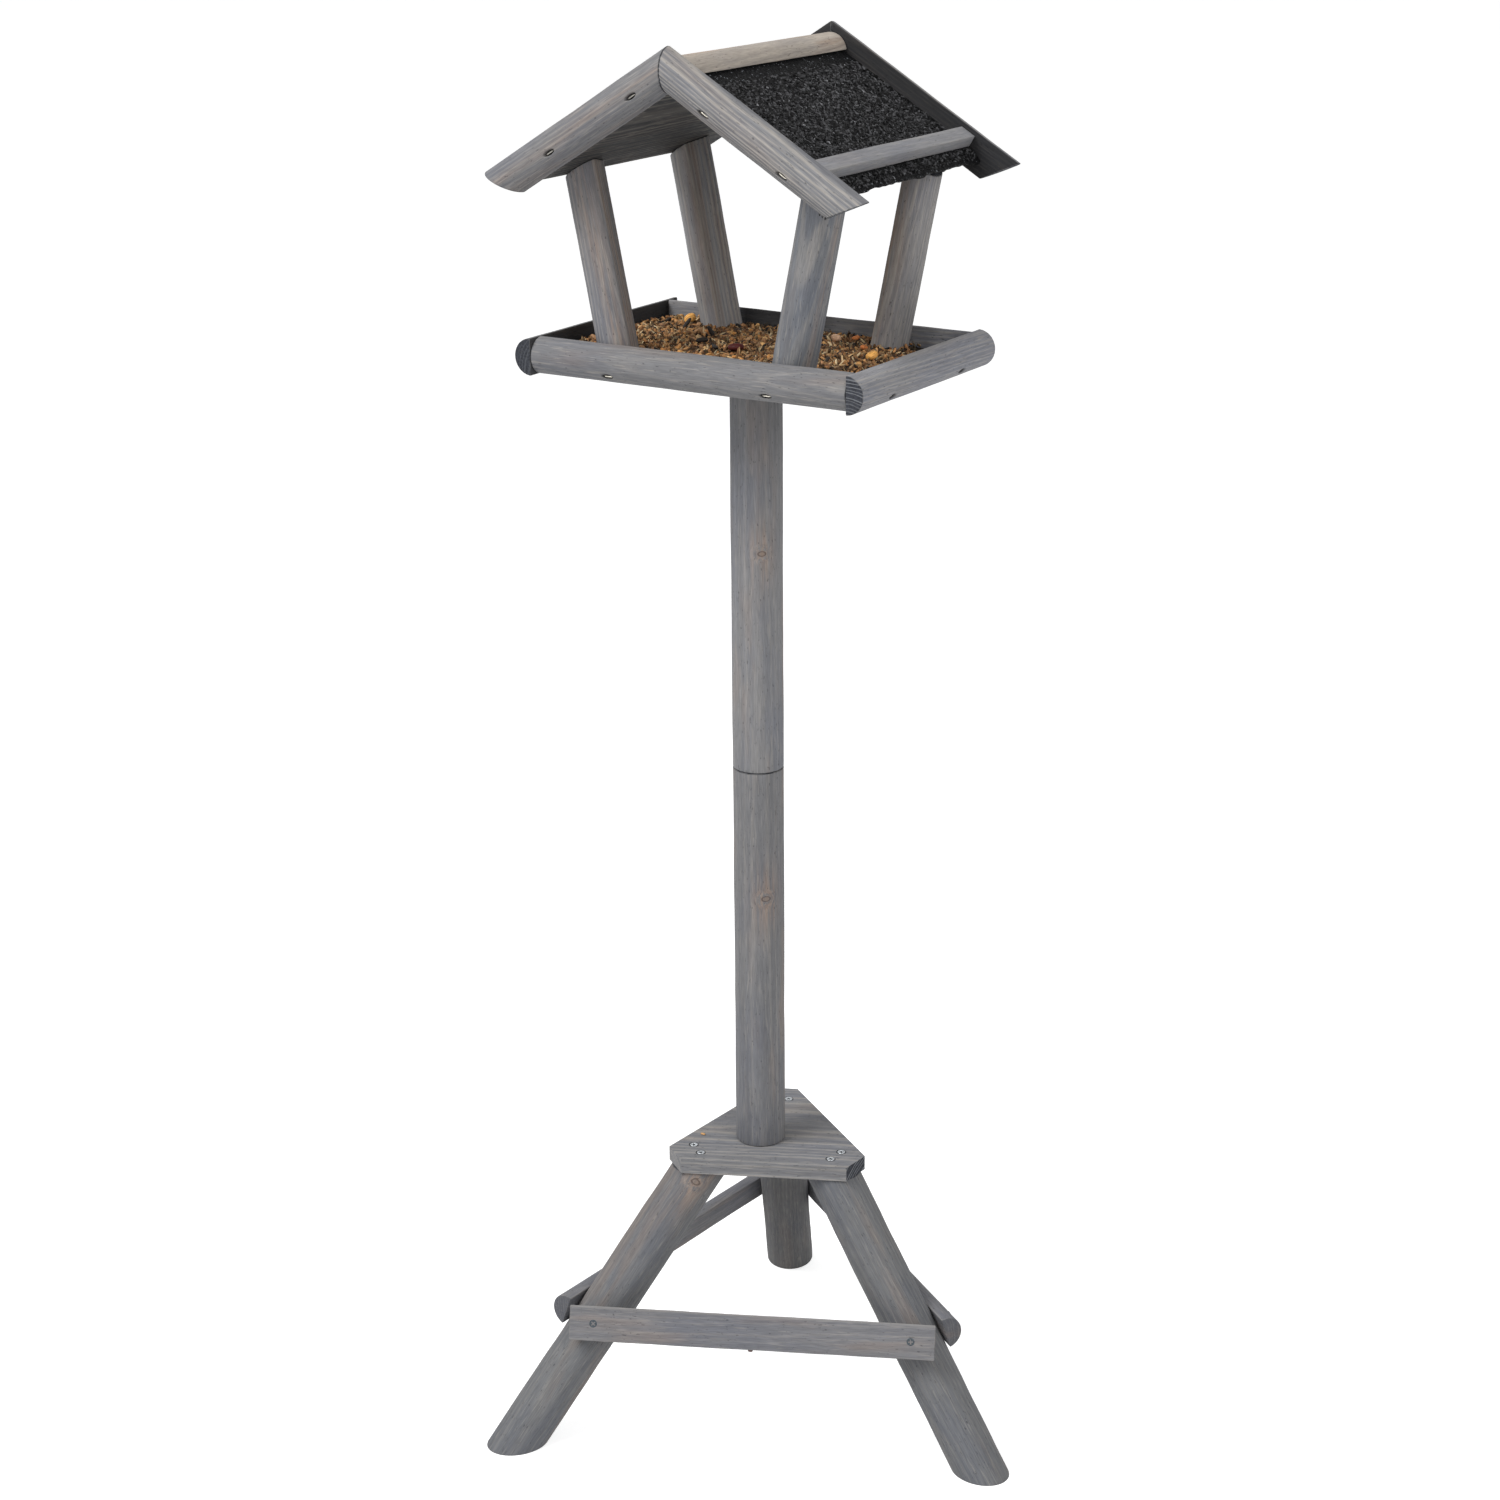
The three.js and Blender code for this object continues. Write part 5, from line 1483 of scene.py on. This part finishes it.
# %% Large kernels on the heap
number = np.arange(1, 91)
share_x, share_y = (2 * np.mod(number * step, 1) - 1 for step in (0.7548776662, 0.569840291))
x, y = share_x * (seed_half_x - 4), share_y * (seed_half_y - 4)
deep = (heap_height(x, y) > 3.2) & clear_of_pillars(x, y, 1.0)
turns = number * math.pi * (3 - math.sqrt(5))
for name, first in (("sunflower", 0), ("maize", 1), ("nut", 2)):
    mask = deep & (number % 6 == first)
    kind = next(kind for kind in grain_kinds if kind[0] == name)
    piece = grain_piece("large_" + name, kind, x[mask], y[mask], np.random.default_rng(1300 + first), 0.6,
                        turns[mask])
    finish_piece(piece, husk, "seed")
    print("large", name, int(mask.sum()))

# %% [markdown]
# A few kernels stand out of the mix and have places of their own: a dark red bean at the front, a
# broad kernel of maize at the back, black striped hulls, and some pale and orange ones on the right.

# %% Kernels with places of their own
placed_kinds = [
    # name, half sizes (mm), colour as seen, places and turns
    ("bean", (5.6, 3.6, 2.9), (70, 28, 26), [(-1.4, -25.3, 0.3)]),
    ("broad_maize", (4.9, 4.2, 3.0), (222, 166, 92), [(-96.1, 57.8, 0.4), (96.6, 5.5, 1.2)]),
    ("hull", (4.8, 2.2, 1.6), (44, 40, 38),
     [(-84.5, 35.7, 1.1), (-44.5, 7.7, 0.5), (-37.7, -15.4, 0.8), (-16.9, -29.9, 2.4)]),
    ("pale_pea", (3.6, 3.4, 2.8), (190, 156, 130), [(39.5, 51.1, 0.0)]),
    ("orange_maize", (3.4, 2.5, 1.9), (188, 116, 68),
     [(50.6, 62.0, 0.2), (73.1, 34.9, 1.5), (75.3, 58.3, 2.2)]),
]
# The placed kernels lie high, where grain_piece paints light on them
placed_lift, placed_level = 4.2, (0.97, 1.0)
for name, half, shade, spots in placed_kinds:
    x, y, yaw = np.array(spots).T
    kind = (name, 0, half, 0.05, (14, 8, 0.7), [shade])
    piece = grain_piece("placed_" + name, kind, x, y, np.random.default_rng(1400 + len(name)),
                        placed_lift, yaw, placed_level)
    finish_piece(piece, husk, "seed")
print("placed kernels:", sum(len(kind[3]) for kind in placed_kinds))

# %% [markdown]
# One drop of stain dried under the front brace before it could fall.

# %% Dried drip
dried_drip = new_material("dried_drip", Base_Color=paint(74, 48, 40), Roughness=0.35)[0]
unit, faces = grain_shape(16, 9, 0.8)
drop = at(*drip_place) + (unit * [2.0, 1.0, 1.1]) @ drip_axes * mm
finish_piece(make_mesh("brace_drip", drop, faces, {}), dried_drip, "grey_wood")
print("drip points:", len(unit))

# %% [markdown]
# One husk has blown out of the tray and lies on the plate, left of the post.

# %% Fallen husk
unit, faces = grain_shape(12, 7, 0.8)
fallen = at(-42.0, -22.5, plate_top + 0.7) + unit * [2.2, 1.3, 0.7] * mm
flake = make_mesh("plate_husk", fallen, faces,
                  {"tint": np.tile(paint(206, 162, 112), (len(unit), 1)), "kernel": unit})
finish_piece(flake, husk, "seed")
print("husk points:", len(unit))

# %% [markdown]
# The saw tore a few fibres out of the front right gable board's lower corner. The pits are too small
# to cut, so dark slivers of painted shade, for the shade inside the pits, lie half sunk in the rounded
# face, whose height above the flat is sqrt(r^2 - u^2).

# %% Torn fibres
unit, faces = grain_shape(8, 5, 0.8)
torn = []
for s, u in ((149.2, -12.2), (146.6, -12.4), (143.9, -12.7), (150.4, -10.6)):
    proud = math.sqrt(slat_thickness ** 2 - u ** 2)
    middle = on_slope(1, s, slat_width / 2 + u, -(roof_length / 2 + seat_gap + proud))
    torn.append(middle + unit[:, [2, 1, 0]] * [-0.6, 0.4, 1.6])
# Painted shade: dark slivers stand for the shade inside the torn pits
slivers = make_mesh("gable_torn_fibre_shade", to_frame(np.vstack(torn)), repeated(faces, len(unit), len(torn)),
                    {"tint": np.tile(paint(34, 34, 36), (len(unit) * len(torn), 1)),
                     "kernel": np.tile(unit, (len(torn), 1))})
finish_piece(slivers, husk, "grey_wood")
print("slivers:", len(torn))

# %% [markdown]
# ## Studio
# The table stands on a white floor in front of nothing at all. The camera sees pure white behind it,
# which a Light Path node gives in the world and on the floor, while the lamps stay at a level at which
# a colour shows about as it is written. The floor keeps the table's soft shadow.

# %% Floor


def straight_from_view(tree):
    """1 on rays from the camera, a mirror or glass, and 0 on those that light the table."""
    path = add(tree, "ShaderNodeLightPath").outputs
    shining = maths(tree, "MAXIMUM", path["Is Glossy Ray"], path["Is Transmission Ray"])
    return maths(tree, "MAXIMUM", path["Is Camera Ray"], shining)


white_floor, tree, shader = new_material(
    "white_floor", Base_Color=(0.82, 0.82, 0.82, 1), Roughness=0.9, Specular_IOR_Level=0.1,
    Emission_Color=(1, 1, 1, 1))
floor_glow = 0.64
glow = maths(tree, "MULTIPLY", straight_from_view(tree), floor_glow)
tree.links.new(glow, shader.inputs["Emission Strength"])
floor_mesh = bpy.data.meshes.new("studio_floor")
reach = 60.0
floor_mesh.from_pydata([(-reach, -reach, 0), (reach, -reach, 0), (reach, reach, 0), (-reach, reach, 0)], [],
                       [(0, 1, 2, 3)])
floor_mesh.materials.append(white_floor)
studio_floor = add_object("studio_floor", floor_mesh)
print("floor:", 2 * reach, "m across")

# %% World
world = bpy.data.worlds.new("studio")
world.use_nodes = True
bpy.context.scene.world = world
tree = world.node_tree
background = tree.nodes["Background"]
ambient = 0.42
strength = maths(tree, "MULTIPLY_ADD", straight_from_view(tree), 1 - ambient, ambient)
tree.links.new(strength, background.inputs["Strength"])
background.inputs["Color"].default_value = (1, 1, 1, 1)
print("the world lights the table at", ambient)

# %% Lamps


def soft_lamp(name, place, aim, size, watts):
    """A square area lamp at a place in metres, turned to look at its aim."""
    data = bpy.data.lights.new(name, "AREA")
    data.shape, data.size, data.energy = "SQUARE", size, watts
    look = Vector(aim) - Vector(place)
    turned_to_aim = look.to_track_quat("-Z", "Y").to_matrix().to_4x4()
    add_object(name, data).matrix_world = Matrix.Translation(Vector(place)) @ turned_to_aim


soft_lamp("key_lamp", (-1.5, -2.3, 3.7), (0, 0, 0.6), 2.2, 134)
soft_lamp("fill_lamp", (2.8, -1.2, 2.6), (0, 0, 0.7), 2.4, 46)
print("lamps:", len(bpy.data.lights))
bpy.context.scene.view_settings.view_transform = "Standard"

# %% [markdown]
# ## Does the dressed table still have its sizes?
# Each surface is compared with the box of the solids it stands for.

# %% Check the sizes
strays = []
for piece, nodes in dressed:
    if not nodes:
        continue
    co = read_rows(piece.data.vertices, "co")
    boxes = [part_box(node) for node in nodes]
    low = np.min([box[0] for box in boxes], 0)
    high = np.max([box[1] for box in boxes], 0)
    off = max(np.abs(co.min(0) - low).max(), np.abs(co.max(0) - high).max())
    strays.append((round(float(off) * 1000, 2), piece.name))
print("largest differences, mm:", sorted(strays, reverse=True)[:8])
